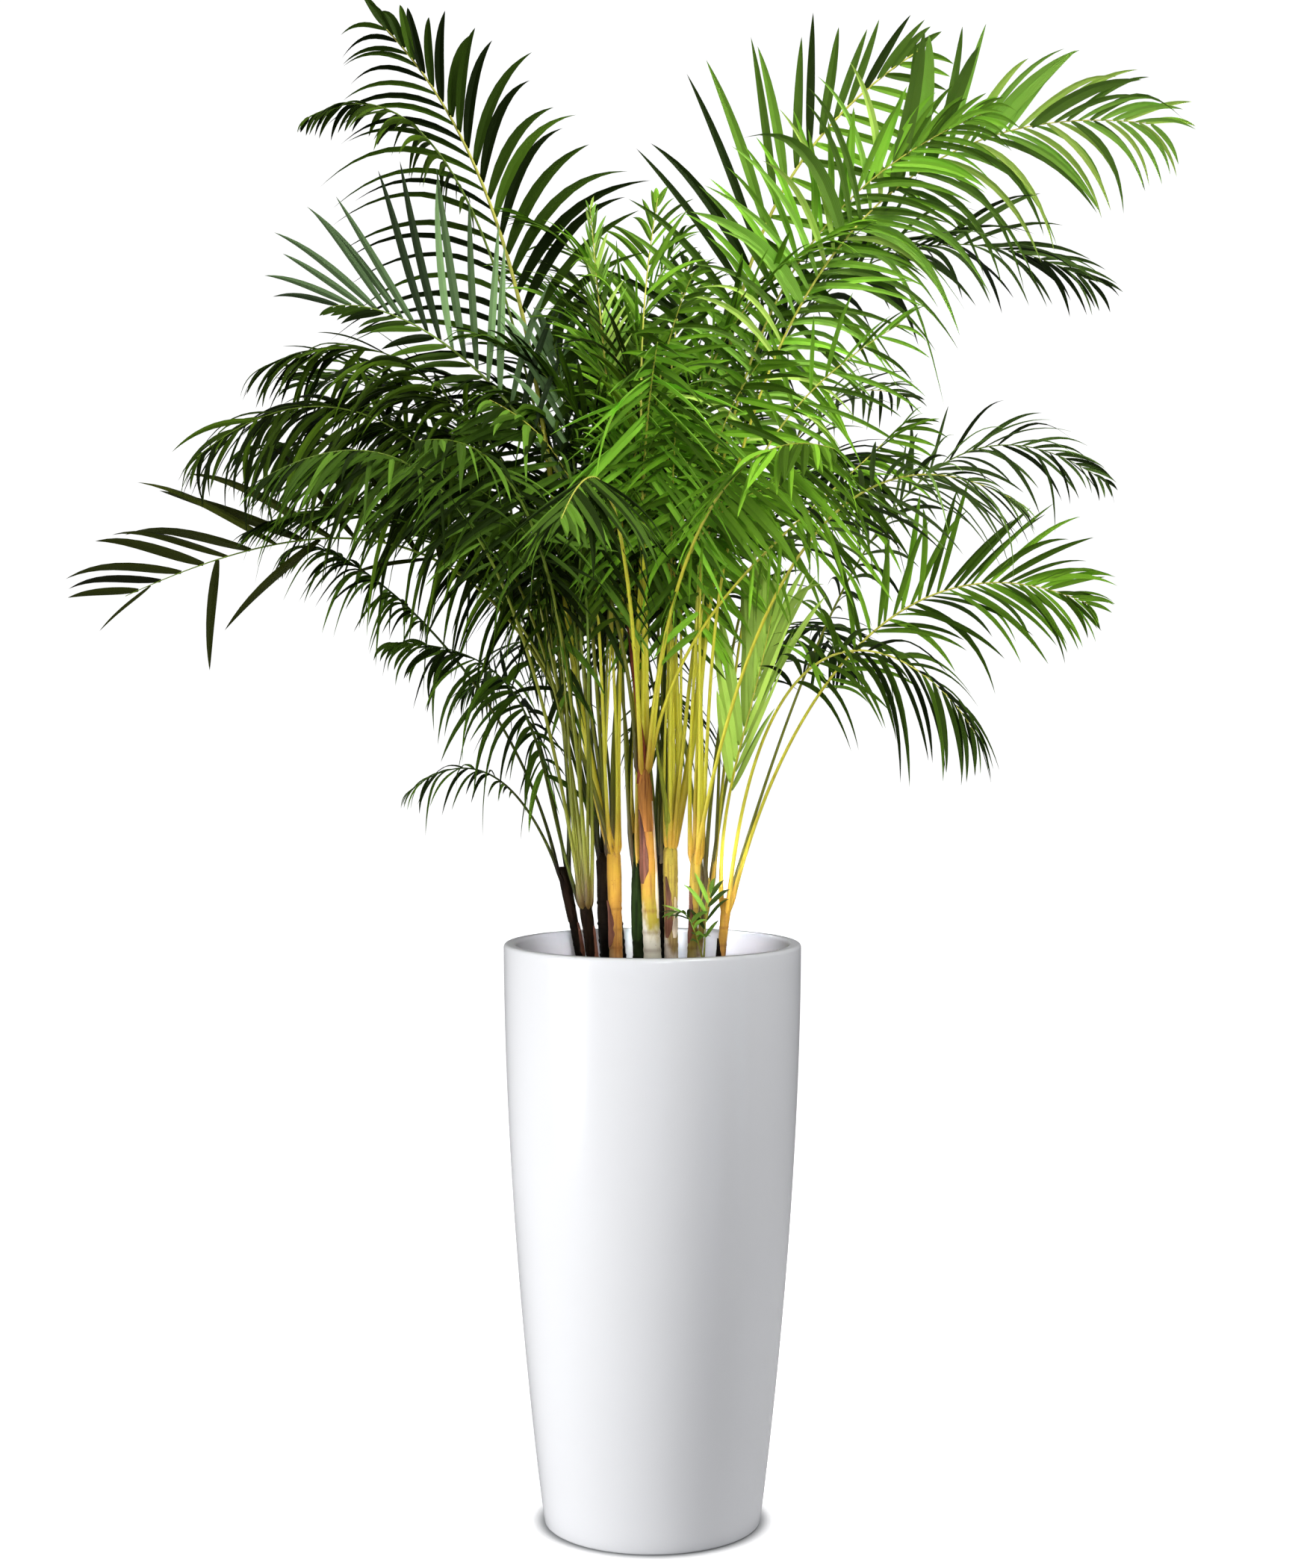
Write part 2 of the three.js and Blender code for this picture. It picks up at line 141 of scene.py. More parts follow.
class Sheet:
    """A node tree being written, for a material, the world or Geometry Nodes."""

    def __init__(self, tree: bpy.types.NodeTree) -> None:
        """Hold the tree."""
        self.tree = tree

    @staticmethod
    def _pick(sockets: bpy.types.bpy_prop_collection, key: int | str) -> bpy.types.NodeSocket:
        """Find an enabled socket by its place among them or by its name."""
        open_ones = [socket for socket in sockets if socket.enabled]
        if isinstance(key, int):
            return open_ones[key]
        return next(socket for socket in open_ones if socket.name == key)

    def feed(self, socket: bpy.types.NodeSocket, value: object) -> None:
        """Link a flow to a socket, or set the socket to a plain value."""
        if isinstance(value, Flow):
            self.tree.links.new(value.socket, socket)
        else:
            socket.default_value = value

    def add(
        self, kind: str, settings: dict | None = None, values: dict | None = None, out: int | str = 0
    ) -> Flow:
        """Add one node.

        Args:
            kind: The node's type name.
            settings: Its own settings, set before the sockets; "stops" gives a ramp's stops.
            values: Values or flows for its input sockets, by place or by name.
            out: The output to return, by place or by name.

        Returns:
            The chosen output as a flow.
        """
        node = self.tree.nodes.new(kind)
        for name, setting in (settings or {}).items():
            if name == "stops":
                ramp = node.color_ramp
                while len(ramp.elements) < len(setting):
                    ramp.elements.new(0.5)
                for element, (position, colour) in zip(ramp.elements, setting):
                    element.position = position
                    element.color = colour
            else:
                setattr(node, name, setting)
        for key, value in (values or {}).items():
            self.feed(self._pick(node.inputs, key), value)
        return Flow(self, self._pick(node.outputs, out))

    def blend(self, share: Flow | float, first: Flow | Colour, second: Flow | Colour) -> Flow:
        """Mix two colours, giving the first where the share is 0 and the second where it is 1."""
        return self.add(
            "ShaderNodeMix", {"data_type": "RGBA"}, {"Factor": share, "A": first, "B": second}, "Result"
        )

    def ramp(self, along: Flow, stops: list[tuple[float, Colour]]) -> Flow:
        """Colour a value by a ramp's stops."""
        return self.add("ShaderNodeValToRGB", {"stops": stops}, {"Fac": along}, "Color")

    def place(self, stretch: tuple[float, float, float] = (1, 1, 1)) -> Flow:
        """Return the piece's own coordinates in metres, multiplied axis by axis."""
        here = self.add("ShaderNodeTexCoord", out="Object")
        return self.add("ShaderNodeMapping", {}, {"Vector": here, "Scale": stretch})

    def grain(self, where: Flow, scale: float, detail: float = 3.0) -> Flow:
        """Return soft noise from 0 to 1 at a scale."""
        values = {"Vector": where, "Scale": scale, "Detail": detail}
        return self.add("ShaderNodeTexNoise", {}, values, "Fac")

    def stored(self, name: str) -> Flow:
        """Return a number that the mesh stores under this name."""
        return self.add("ShaderNodeAttribute", {"attribute_name": name}, out="Fac")

    def bumped(self, height: Flow, depth: float, strength: float = 1.0) -> Flow:
        """Return a normal pushed about by a height, with its depth in metres."""
        return self.add("ShaderNodeBump", {}, {"Height": height, "Distance": depth, "Strength": strength})


class Skin:
    """A material being made: its sheet of nodes and its one Principled shader."""

    def __init__(self, name: str, **constants: float) -> None:
        """Start a material and set the shader's own plain sockets.

        Args:
            name: The material's name.
            constants: Socket values, with spaces in the socket's name written as underscores.
        """
        self.material = bpy.data.materials.new(name)
        self.material.use_nodes = True
        self.sheet = Sheet(self.material.node_tree)
        self.shader = next(n for n in self.material.node_tree.nodes if n.type == "BSDF_PRINCIPLED")
        for socket, value in constants.items():
            self.shader.inputs[socket.replace("_", " ")].default_value = value

    def wear(self, **flows: Flow | Colour | float) -> bpy.types.Material:
        """Feed the shader's sockets and return the finished material."""
        for socket, value in flows.items():
            self.sheet.feed(self.shader.inputs[socket.replace("_", " ")], value)
        return self.material


@dataclass(frozen=True)
class GlossWhite:
    """Polished white lacquer over the planter's moulded shell."""

    colour: Colour = tint(243, 244, 247)
    warm: Colour = tint(240, 241, 243)
    polish: float = 0.17

    def make(self) -> bpy.types.Material:
        """Return the material."""
        skin = Skin("planter_gloss_white", Coat_Weight=0.5, Coat_Roughness=0.06, IOR=1.5)
        sheet = skin.sheet
        cloud = sheet.grain(sheet.place(), scale=5.0)
        peel = sheet.grain(sheet.place(), scale=260.0, detail=1.0)
        wave = sheet.grain(sheet.place((1, 1, 0.35)), scale=14.0, detail=1.0)
        return skin.wear(
            Base_Color=sheet.blend(cloud, self.colour, self.warm),
            Roughness=self.polish + 0.08 * cloud,
            Normal=sheet.bumped(peel * 0.12 + wave, depth=0.0004, strength=0.25),
        )


@dataclass(frozen=True)
class Compost:
    """Damp dark potting compost with paler fibres and specks."""

    deep: Colour = tint(34, 24, 17)
    pale: Colour = tint(86, 66, 46)

    def make(self, name: str) -> bpy.types.Material:
        """Return the material under a name."""
        skin = Skin(name, Specular_IOR_Level=0.25)
        sheet = skin.sheet
        clods = sheet.grain(sheet.place(), scale=90.0, detail=6.0)
        fibre = sheet.grain(sheet.place((1, 0.25, 1)), scale=420.0, detail=2.0)
        return skin.wear(
            Base_Color=sheet.blend(clods.eased(0.42, 0.75) * 0.6 + fibre * 0.2, self.deep, self.pale),
            Roughness=0.82 + 0.15 * fibre,
            Normal=sheet.bumped(clods + 0.4 * fibre, depth=0.003, strength=0.8),
        )


@dataclass(frozen=True)
class CaneSkin:
    """Cane bark that changes from the soil to the crownshaft, with waxy bloom, streaks and leaf scars."""

    name: str
    low: Colour
    high: Colour
    bloom: Colour
    bloom_share: float
    scar: Colour
    shine: float = 0.15

    def make(self) -> bpy.types.Material:
        """Return the material."""
        skin = Skin(self.name, Specular_IOR_Level=self.shine)
        sheet = skin.sheet
        along = sheet.stored("along")
        streak = sheet.grain(sheet.place((1, 1, 0.07)), scale=260.0, detail=4.0)
        blotch = sheet.grain(sheet.place((1, 1, 0.4)), scale=55.0, detail=4.0)
        speck = sheet.grain(sheet.place(), scale=420.0, detail=2.0)
        base = sheet.blend((along + 0.7 * blotch - 0.35).eased(0.1, 0.95), self.low, self.high)
        base = sheet.blend(streak.eased(0.45, 0.7) * 0.6, base, self.scar)
        wax = (0.6 * blotch + 0.35 - 0.9 * along).eased(0.34, 0.5) * self.bloom_share
        base = sheet.blend(wax, base, self.bloom)
        base = sheet.blend(speck.eased(0.66, 0.74) * 0.6, base, self.scar)
        base = sheet.blend(sheet.stored("scar") * 0.45, base, self.scar)
        return skin.wear(
            Base_Color=base,
            Roughness=0.42 + 0.2 * wax + 0.14 * streak,
            Normal=sheet.bumped(streak + 0.5 * speck, depth=0.0007, strength=0.7),
        )


@dataclass(frozen=True)
class HuskSkin:
    """Dry leaf sheath: papery, streaked and darker towards its torn edge."""

    name: str
    fresh: Colour
    dry: Colour
    shine: float = 0.15

    def make(self) -> bpy.types.Material:
        """Return the material."""
        skin = Skin(self.name, Specular_IOR_Level=self.shine)
        sheet = skin.sheet
        streak = sheet.grain(sheet.place((1, 1, 0.05)), scale=330.0, detail=4.0)
        blotch = sheet.grain(sheet.place((1, 1, 0.5)), scale=70.0, detail=3.0)
        shade = (sheet.stored("along") + 0.8 * blotch - 0.4).eased(0.2, 0.9)
        return skin.wear(
            Base_Color=sheet.blend(streak.eased(0.42, 0.66) * 0.65 + shade * 0.35, self.fresh, self.dry),
            Roughness=0.5 + 0.25 * streak,
            Normal=sheet.bumped(streak, depth=0.0008, strength=0.8),
        )


@dataclass(frozen=True)
class StalkSkin:
    """Petiole and rib: a foot colour where it leaves the cane, tan on lit stalks and darkened as painted
    shade on stalks in shadow, then its own two greens, lightly freckled.
    """

    name: str
    foot: Colour
    stalk: Colour
    rib: Colour
    shine: float = 0.4
    spot: Colour = tint(84, 52, 22)

    def make(self) -> bpy.types.Material:
        """Return the material."""
        skin = Skin(self.name, Specular_IOR_Level=self.shine)
        sheet = skin.sheet
        along = sheet.stored("along")
        streak = sheet.grain(sheet.place((1, 1, 0.12)), scale=300.0, detail=3.0)
        freckle = sheet.grain(sheet.place(), scale=700.0, detail=1.0)
        base = sheet.ramp(
            along + 0.12 * streak - 0.06,
            [(0.0, self.foot), (0.12, self.stalk), (0.42, self.stalk), (0.62, self.rib)],
        )
        base = sheet.blend(streak.eased(0.45, 0.75) * 0.28, base, self.foot)
        base = sheet.blend(freckle.eased(0.7, 0.76) * 0.25, base, self.spot)
        return skin.wear(
            Base_Color=base,
            Roughness=0.36 + 0.16 * streak,
            Normal=sheet.bumped(streak + 0.3 * freckle, depth=0.0004, strength=0.6),
        )


class Tone(Enum):
    """The leaf greens of the crown, as screen values from 0 to 255. They are partly the leaves' own greens
    and partly painted light and shade: the paler greens are lightened as painted light for lit leaves on
    the right, the darkest are darkened as painted shade for leaves on the left and at the back, and the
    blue-grey green holds a painted sheen on glossy leaflets.
    """

    # Darkened as painted shade for shaded fronds.
    DARK = (58, 84, 18)
    OLIVE = (62, 86, 14)
    MID = (110, 156, 40)
    # A pale blue-grey that paints the sheen of glossy leaflets over their green.
    BLUE = (112, 142, 92)
    FRESH = (126, 178, 54)
    LIGHT = (160, 214, 86)
    LIME = (188, 224, 100)
    GREY = (100, 128, 62)
    LEAF = (84, 118, 36)
    # Painted shade: the green of fronds at the back, darkened for the crown's shadow.
    DEEP = (42, 64, 16)
    UMBER = (48, 55, 12)


class Stalk(Enum):
    """The colourings of a frond's petiole and rib: its foot, its stalk and its rib. GOLD is the petioles'
    own yellow, raised as painted light; GREEN is darkened as painted shade for stalks in shadow, darkest
    at its foot; DARK is near-black painted shade for stalks at the back and between the canes.
    """

    GOLD = StalkSkin("stalk_gold", tint(186, 146, 44), tint(238, 232, 70), tint(240, 238, 104))
    GREEN = StalkSkin("stalk_green", tint(74, 56, 24), tint(134, 140, 36), tint(130, 160, 52))
    # Painted shade: near-black stalks for the shadow at the back and between the canes.
    DARK = StalkSkin("stalk_dark", tint(22, 16, 10), tint(70, 80, 26), tint(56, 78, 26), 0.1)


@dataclass(frozen=True)
class LeafSkin:
    """Waxy leaflet in three plain shades of one tone, finely veined along its length: painted shade for
    leaflets in shadow, the tone itself, and painted light for lit leaflets.

    Attributes:
        tone: The leaf green.
        dim: The three shades of a dark tone, as shares of its light.
        clear: The three shades of a light tone.
        even: The three shades of the pale unopened fan.
        clear_from: The green value from which a tone counts as light.
        wax: The least roughness.
        shine: The strength of the mirror part.
    """

    tone: Tone
    dim: tuple[float, float, float] = (0.24, 0.95, 2.1)
    clear: tuple[float, float, float] = (0.46, 1.15, 2.0)
    even: tuple[float, float, float] = (0.8, 1.05, 1.35)
    clear_from: int = 145
    wax: float = 0.4
    shine: float = 0.08

    def shares(self) -> tuple[float, float, float]:
        """Return the three shades as shares of the tone's light."""
        if self.tone is Tone.LIME:
            return self.even
        return self.clear if self.tone.value[1] >= self.clear_from else self.dim

    def make(self) -> list[bpy.types.Material]:
        """Return the three materials, from painted shade through the plain tone to painted light."""
        made = []
        # The first share darkens the tone as painted shade and the last lightens it as painted light.
        for number, share in enumerate(self.shares()):
            skin = Skin(f"leaf_{self.tone.name.lower()}_{number}", Specular_IOR_Level=self.shine)
            sheet = skin.sheet
            where = sheet.add("ShaderNodeUVMap", {"uv_map": "UVMap"})
            veins = sheet.add(
                "ShaderNodeTexWave", {"bands_direction": "X"}, {"Vector": where, "Scale": 3.0}, "Fac"
            )
            sheen = sheet.grain(sheet.place(), scale=38.0, detail=2.0)
            made.append(
                skin.wear(
                    Base_Color=shaded(tint(*self.tone.value), share),
                    Roughness=self.wax + 0.2 * sheen,
                    Normal=sheet.bumped(veins + sheen, depth=0.0003, strength=0.5),
                )
            )
        return made


class Grower:
    """A Geometry Nodes tree with named inputs, run once on a mesh and then put away."""

    def __init__(self, name: str, inputs: dict[str, str]) -> None:
        """Start a tree.

        Args:
            name: The tree's name.
            inputs: Socket type for each named input beside the geometry.
        """
        self.tree = bpy.data.node_groups.new(name, "GeometryNodeTree")
        self.sheet = Sheet(self.tree)
        self.idents: dict[str, str] = {}
        for label, kind in {"Geometry": "Geometry", **inputs}.items():
            socket = self.tree.interface.new_socket(
                name=label, in_out="INPUT", socket_type=f"NodeSocket{kind}"
            )
            self.idents[label] = socket.identifier
        self.tree.interface.new_socket(name="Geometry", in_out="OUTPUT", socket_type="NodeSocketGeometry")
        self.start = self.tree.nodes.new("NodeGroupInput")

    def given(self, label: str) -> Flow:
        """Return one of the named inputs."""
        return Flow(self.sheet, self.start.outputs[label])

    def stored(self, name: str, kind: str = "FLOAT") -> Flow:
        """Return an attribute that the geometry stores under this name."""
        return self.sheet.add(
            "GeometryNodeInputNamedAttribute", {"data_type": kind}, {"Name": name}, "Attribute"
        )

    def close(self, geometry: Flow) -> None:
        """Send the geometry to the tree's output."""
        end = self.tree.nodes.new("NodeGroupOutput")
        self.tree.links.new(geometry.socket, end.inputs[0])

    def run(self, name: str, mesh: bpy.types.Mesh, values: dict[str, object]) -> bpy.types.Object:
        """Run the tree on a mesh and keep the result as a plain mesh.

        Args:
            name: The name of the finished piece.
            mesh: The mesh that the tree starts from.
            values: Values of the named inputs.

        Returns:
            The finished piece, with no modifier.
        """
        holder = stand(f"{name}_start", mesh)
        modifier = holder.modifiers.new("grow", "NODES")
        modifier.node_group = self.tree
        for label, value in values.items():
            modifier[self.idents[label]] = value
        depsgraph = bpy.context.evaluated_depsgraph_get()
        grown = bpy.data.meshes.new_from_object(
            holder.evaluated_get(depsgraph), preserve_all_data_layers=True, depsgraph=depsgraph
        )
        bpy.data.objects.remove(holder)
        bpy.data.meshes.remove(mesh)
        grown.name = name
        return stand(name, grown)


def keep(piece: bpy.types.Object, nodes: list[str]) -> None:
    """Ride a finished piece on the plant's body in place of its solids, and report it."""
    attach(piece, BODY)
    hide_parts(*nodes)
    log.info("%s: %d faces", piece.name, len(piece.data.polygons))


def stand(name: str, data: bpy.types.ID) -> bpy.types.Object:
    """Put a new object that holds this data into the scene."""
    made = bpy.data.objects.new(name, data)
    bpy.context.scene.collection.objects.link(made)
    return made


def store(mesh: bpy.types.Mesh, label: str, kind: str, values: object) -> None:
    """Store a value for each point of a mesh.

    Args:
        mesh: The mesh.
        label: The name that the values are stored under.
        kind: Their data type.
        values: One number or one row of numbers for each point.
    """
    layer = mesh.attributes.new(label, kind, "POINT")
    flat = np.array(values, dtype=np.int32 if kind == "INT" else np.float32).ravel()
    layer.data.foreach_set("vector" if kind == "FLOAT_VECTOR" else "value", flat)


def face_outward(mesh: bpy.types.Mesh) -> None:
    """Turn the faces of a closed mesh outward."""
    shell = bmesh.new()
    shell.from_mesh(mesh)
    bmesh.ops.recalc_face_normals(shell, faces=shell.faces)
    shell.to_mesh(mesh)
    shell.free()


def loft(
    name: str, rings: np.ndarray, material: bpy.types.Material, marks: dict[str, np.ndarray] | None = None
) -> bpy.types.Object:
    """Skin a stack of closed rings and close both ends with a pole.

    Args:
        name: The piece's name.
        rings: Points in metres, by ring, by place round it, by axis.
        material: The piece's material.
        marks: Numbers to store, one for each ring, under each name.

    Returns:
        The closed piece, faces outward, with a UV map round and along it.
    """
    count, sides, _ = rings.shape
    points = [tuple(p) for p in rings.reshape(-1, 3)]
    points += [tuple(rings[0].mean(axis=0)), tuple(rings[-1].mean(axis=0))]
    faces = []
    for ring in range(count - 1):
        for k in range(sides):
            a, b = ring * sides + k, ring * sides + (k + 1) % sides
            faces.append((a, b, b + sides, a + sides))
    first, last, top = count * sides, count * sides + 1, (count - 1) * sides
    for k in range(sides):
        faces.append((first, (k + 1) % sides, k))
        faces.append((last, top + k, top + (k + 1) % sides))
    mesh = bpy.data.meshes.new(name)
    mesh.from_pydata(points, [], faces, shade_flat=False)
    face_outward(mesh)
    for label, values in (marks or {}).items():
        spread = np.repeat(np.asarray(values, dtype=np.float32), sides)
        store(mesh, label, "FLOAT", np.append(spread, [spread[0], spread[-1]]))
    lay_map(mesh, sides, count)
    mesh.materials.append(material)
    return stand(name, mesh)


def lay_map(mesh: bpy.types.Mesh, sides: int, count: int) -> None:
    """Give a lofted mesh a UV map: round it in U and along it in V."""
    layer = mesh.uv_layers.new(name="UVMap")
    for face in mesh.polygons:
        turns = [mesh.loops[k].vertex_index % sides for k in face.loop_indices]
        wraps = 0 in turns and sides - 1 in turns
        for k, turn in zip(face.loop_indices, turns):
            ring = min(mesh.loops[k].vertex_index // sides, count - 1)
            around = sides if wraps and turn == 0 else turn
            layer.data[k].uv = (around / sides, ring / (count - 1))


def unit(rows: np.ndarray) -> np.ndarray:
    """Scale each row to a length of 1."""
    return rows / np.linalg.norm(rows, axis=-1, keepdims=True)


def full_turn(sides: int) -> np.ndarray:
    """Return the angles of a ring's points."""
    return np.linspace(0, 2 * math.pi, sides, endpoint=False)


def ring_at(x: float, y: float, z: float, radius: np.ndarray | float, angles: np.ndarray) -> np.ndarray:
    """Return the points of a level ring round a place.

    Args:
        x: The middle's x.
        y: The middle's y.
        z: The ring's height.
        radius: One radius, or one for each angle.
        angles: The angles of the points.

    Returns:
        The points, by place round the ring, by axis.
    """
    level = np.full(len(angles), z)
    return np.column_stack([x + radius * np.cos(angles), y + radius * np.sin(angles), level])


@dataclass
class Planter:
    """The tall round planter, in millimetres: it bows out from a narrow foot to a rounded lip."""

    height: float = 790.0
    foot: float = 147.0
    rim: float = 200.5
    swell: float = 1.83
    wall: float = 17.0
    floor: float = 25.0
    lip: float = 5.0
    toe: float = 4.0
    sides: int = 144
    levels: int = 34
    first_level: float = 20.0
    bends: int = 6
    pole: float = 2.0
    under_ring: float = 70.0
    floor_ring: float = 60.0
    finish: GlossWhite = field(default_factory=GlossWhite)

    def radius(self, z: float) -> float:
        """Return the outer radius at a height."""
        return self.foot + (self.rim - self.foot) * (1 - (1 - z / self.height) ** self.swell)

    def profile(self) -> list[tuple[float, float]]:
        """Return the section from the middle of the underside over the lip to the inner floor."""
        quarter = [math.pi / 2 * k / self.bends for k in range(self.bends + 1)]
        top = self.height - self.lip
        climb = top - self.first_level
        outer = [self.first_level + climb * k / self.levels for k in range(self.levels)]
        inside = self.rim - self.wall
        toe_in = self.foot - self.toe
        line = [(self.pole, 0.0), (self.under_ring, 0.0), (toe_in - 3, 0.0)]
        line += [(toe_in + self.toe * math.sin(t) + 0.4, self.toe * (1 - math.cos(t))) for t in quarter]
        line += [(self.radius(z), z) for z in outer]
        line += [(self.rim - self.lip * (1 - math.cos(t)), top + self.lip * math.sin(t)) for t in quarter]
        line += [(self.rim - self.wall / 2, self.height)]
        line += [(inside + self.lip * (1 - math.sin(t)), top + self.lip * math.cos(t)) for t in quarter]
        line += [(self.radius(z) - self.wall, z) for z in reversed(outer[1:])]
        line += [(self.radius(self.floor) - self.wall, self.floor)]
        line += [(self.floor_ring, self.floor), (self.pole, self.floor)]
        return line

    def build(self) -> None:
        """Turn the section round the middle and dress it."""
        turn = full_turn(self.sides)
        rings = np.array([ring_at(0, 0, z, r, turn) for r, z in self.profile()])
        piece = loft("planter", rings * MM, self.finish.make())
        keep(piece, ["pot"])


@dataclass
class CompostBed:
    """The compost's surface with its crumbs, in millimetres."""

    pot: Planter
    top: float = 740.0
    depth: float = 90.0
    gap: float = 0.5
    relief: float = 9.0
    lump: float = 55.0
    clod: float = 16.0
    crumb: float = 2.6
    crumbs: float = 14000.0
    rings: int = 26
    sides: int = 96
    finish: Compost = field(default_factory=Compost)

    def rise(self, x: float, y: float) -> float:
        """Return how far the surface stands above its mean at a place."""
        broad = noise.noise(Vector((x / self.lump, y / self.lump, 0.3)))
        fine = noise.noise(Vector((x / self.clod, y / self.clod, 4.1)))
        return self.relief * (0.75 * broad + 0.35 * fine) - 0.35 * self.relief

    def build(self) -> None:
        """Make the bed and scatter its crumbs."""
        turn = full_turn(self.sides)
        reach = self.pot.radius(self.top) - self.pot.wall - self.gap
        low = self.pot.radius(self.top - self.depth) - self.pot.wall - self.gap
        stack = [[(low * share, self.top - self.depth)] * self.sides for share in (0.5, 1.0)]
        for ring in range(self.rings):
            r = reach * (1 - ring / self.rings)
            stack.append([(r, self.top + self.rise(r * math.cos(t), r * math.sin(t))) for t in turn])
        rings = np.array(
            [[(r * math.cos(t), r * math.sin(t), z) for (r, z), t in zip(row, turn)] for row in stack]
        )
        bed = loft("compost_bed", rings * MM, self.finish.make("compost"))
        self.scatter(bed)
        keep(bed, ["soil"])

    def scatter(self, bed: bpy.types.Object) -> None:
        """Scatter crumbs over the bed's upper faces by Geometry Nodes."""
        grower = Grower(
            "compost_crumbs",
            {"Crumb": "Float", "Density": "Float", "Least height": "Float", "Skin": "Material"},
        )
        sheet = grower.sheet
        here = sheet.add("GeometryNodeInputPosition")
        high = sheet.add("ShaderNodeSeparateXYZ", {}, {0: here}, "Z")
        upper = sheet.add(
            "FunctionNodeCompare", {"data_type": "FLOAT", "operation": "GREATER_THAN"},
            {"A": high, "B": grower.given("Least height")},
        )
        points = sheet.add(
            "GeometryNodeDistributePointsOnFaces", {},
            {
                "Mesh": grower.given("Geometry"), "Selection": upper,
                "Density": grower.given("Density"), "Seed": 7,
            },
            "Points",
        )
        crumb = sheet.add(
            "GeometryNodeMeshIcoSphere", {}, {"Radius": grower.given("Crumb"), "Subdivisions": 1}, "Mesh"
        )
        turn = sheet.add(
            "FunctionNodeRandomValue", {"data_type": "FLOAT_VECTOR"},
            {"Min": (0, 0, 0), "Max": (6.28, 6.28, 6.28), "Seed": 3},
        )
        size = sheet.add(
            "FunctionNodeRandomValue", {"data_type": "FLOAT_VECTOR"},
            {"Min": (0.35, 0.35, 0.25), "Max": (1.5, 1.2, 0.8), "Seed": 5},
        )
        crumbs = sheet.add(
            "GeometryNodeInstanceOnPoints", {},
            {
                "Points": points, "Instance": crumb, "Scale": size,
                "Rotation": sheet.add("FunctionNodeEulerToRotation", {}, {0: turn}),
            },
        )
        loose = sheet.add("GeometryNodeRealizeInstances", {}, {"Geometry": crumbs})
        grower.close(
            sheet.add(
                "GeometryNodeSetMaterial", {}, {"Geometry": loose, "Material": grower.given("Skin")}
            )
        )
        piece = grower.run(
            "compost_crumbs", bed.data.copy(),
            {
                "Crumb": self.crumb * MM, "Density": self.crumbs, "Least height": (self.top - 20) * MM,
                "Skin": self.finish.make("compost_crumb"),
            },
        )
        keep(piece, ["soil"])


class Bark(Enum):
    """The colourings of the canes. DARK is near-black painted shade for canes in the crown's shadow,
    behind and between the lit ones; GREEN is a cane's green darkened as painted shade.
    """

    # Painted shade: near-black canes filling the shadow behind and between the others.
    DARK = CaneSkin(
        "cane_dark", low=tint(10, 7, 4), high=tint(26, 19, 10), bloom=tint(40, 32, 22), bloom_share=0.0,
        scar=tint(6, 4, 3), shine=0.02,
    )
    TAN = CaneSkin(
        "cane_tan", low=tint(166, 114, 52), high=tint(178, 142, 48), bloom=tint(190, 164, 122),
        bloom_share=0.3, scar=tint(100, 60, 30),
    )
    GOLD = CaneSkin(
        "cane_gold", low=tint(160, 148, 48), high=tint(184, 118, 46), bloom=tint(226, 222, 204),
        bloom_share=0.9, scar=tint(118, 80, 40),
    )
    BROWN = CaneSkin(
        "cane_brown", low=tint(134, 112, 64), high=tint(176, 156, 58), bloom=tint(198, 190, 174),
        bloom_share=0.8, scar=tint(78, 54, 34),
    )
    OLIVE = CaneSkin(
        "cane_olive", low=tint(126, 110, 46), high=tint(176, 150, 52), bloom=tint(180, 168, 130),
        bloom_share=0.3, scar=tint(84, 58, 34),
    )
    # A cane's green, darkened as painted shade.
    GREEN = CaneSkin(
        "cane_green", low=tint(16, 22, 8), high=tint(34, 50, 14), bloom=tint(50, 62, 30), bloom_share=0.15,
        scar=tint(12, 15, 7), shine=0.04,
    )


class Husk(Enum):
    """The colourings of the dry sheaths and of the unopened leaves. The near-black husk is painted shade
    on canes in shadow, and the dark green one is its own green darkened as painted shade.
    """

    AMBER = HuskSkin("husk_amber", tint(182, 122, 54), tint(108, 60, 28))
    PLUM = HuskSkin("husk_plum", tint(122, 78, 58), tint(72, 44, 36))
    RUST = HuskSkin("spear_red_brown", tint(140, 68, 44), tint(98, 44, 32))
    LEEK = HuskSkin("spear_green", tint(160, 168, 56), tint(116, 124, 42))
    # Painted shade: near-black sheaths on canes in shadow.
    SOOT = HuskSkin("husk_soot", tint(30, 20, 12), tint(12, 8, 6), 0.02)
    # Its own green, darkened as painted shade.
    MOSS = HuskSkin("husk_moss", tint(34, 50, 16), tint(12, 18, 7), 0.04)
    PAPER = HuskSkin("husk_paper", tint(214, 200, 172), tint(150, 120, 92))


@dataclass(frozen=True)
class Sheath:
    """One dry sheath.

    Attributes:
        low: Its lowest place, as a share of its cane's height.
        high: Its highest place.
        turn: The compass turn of its middle, in degrees.
        wide: Its reach round the cane, in degrees.
        husk: Its colouring.
    """

    low: float
    high: float
    turn: float
    wide: float
    husk: Husk = Husk.AMBER


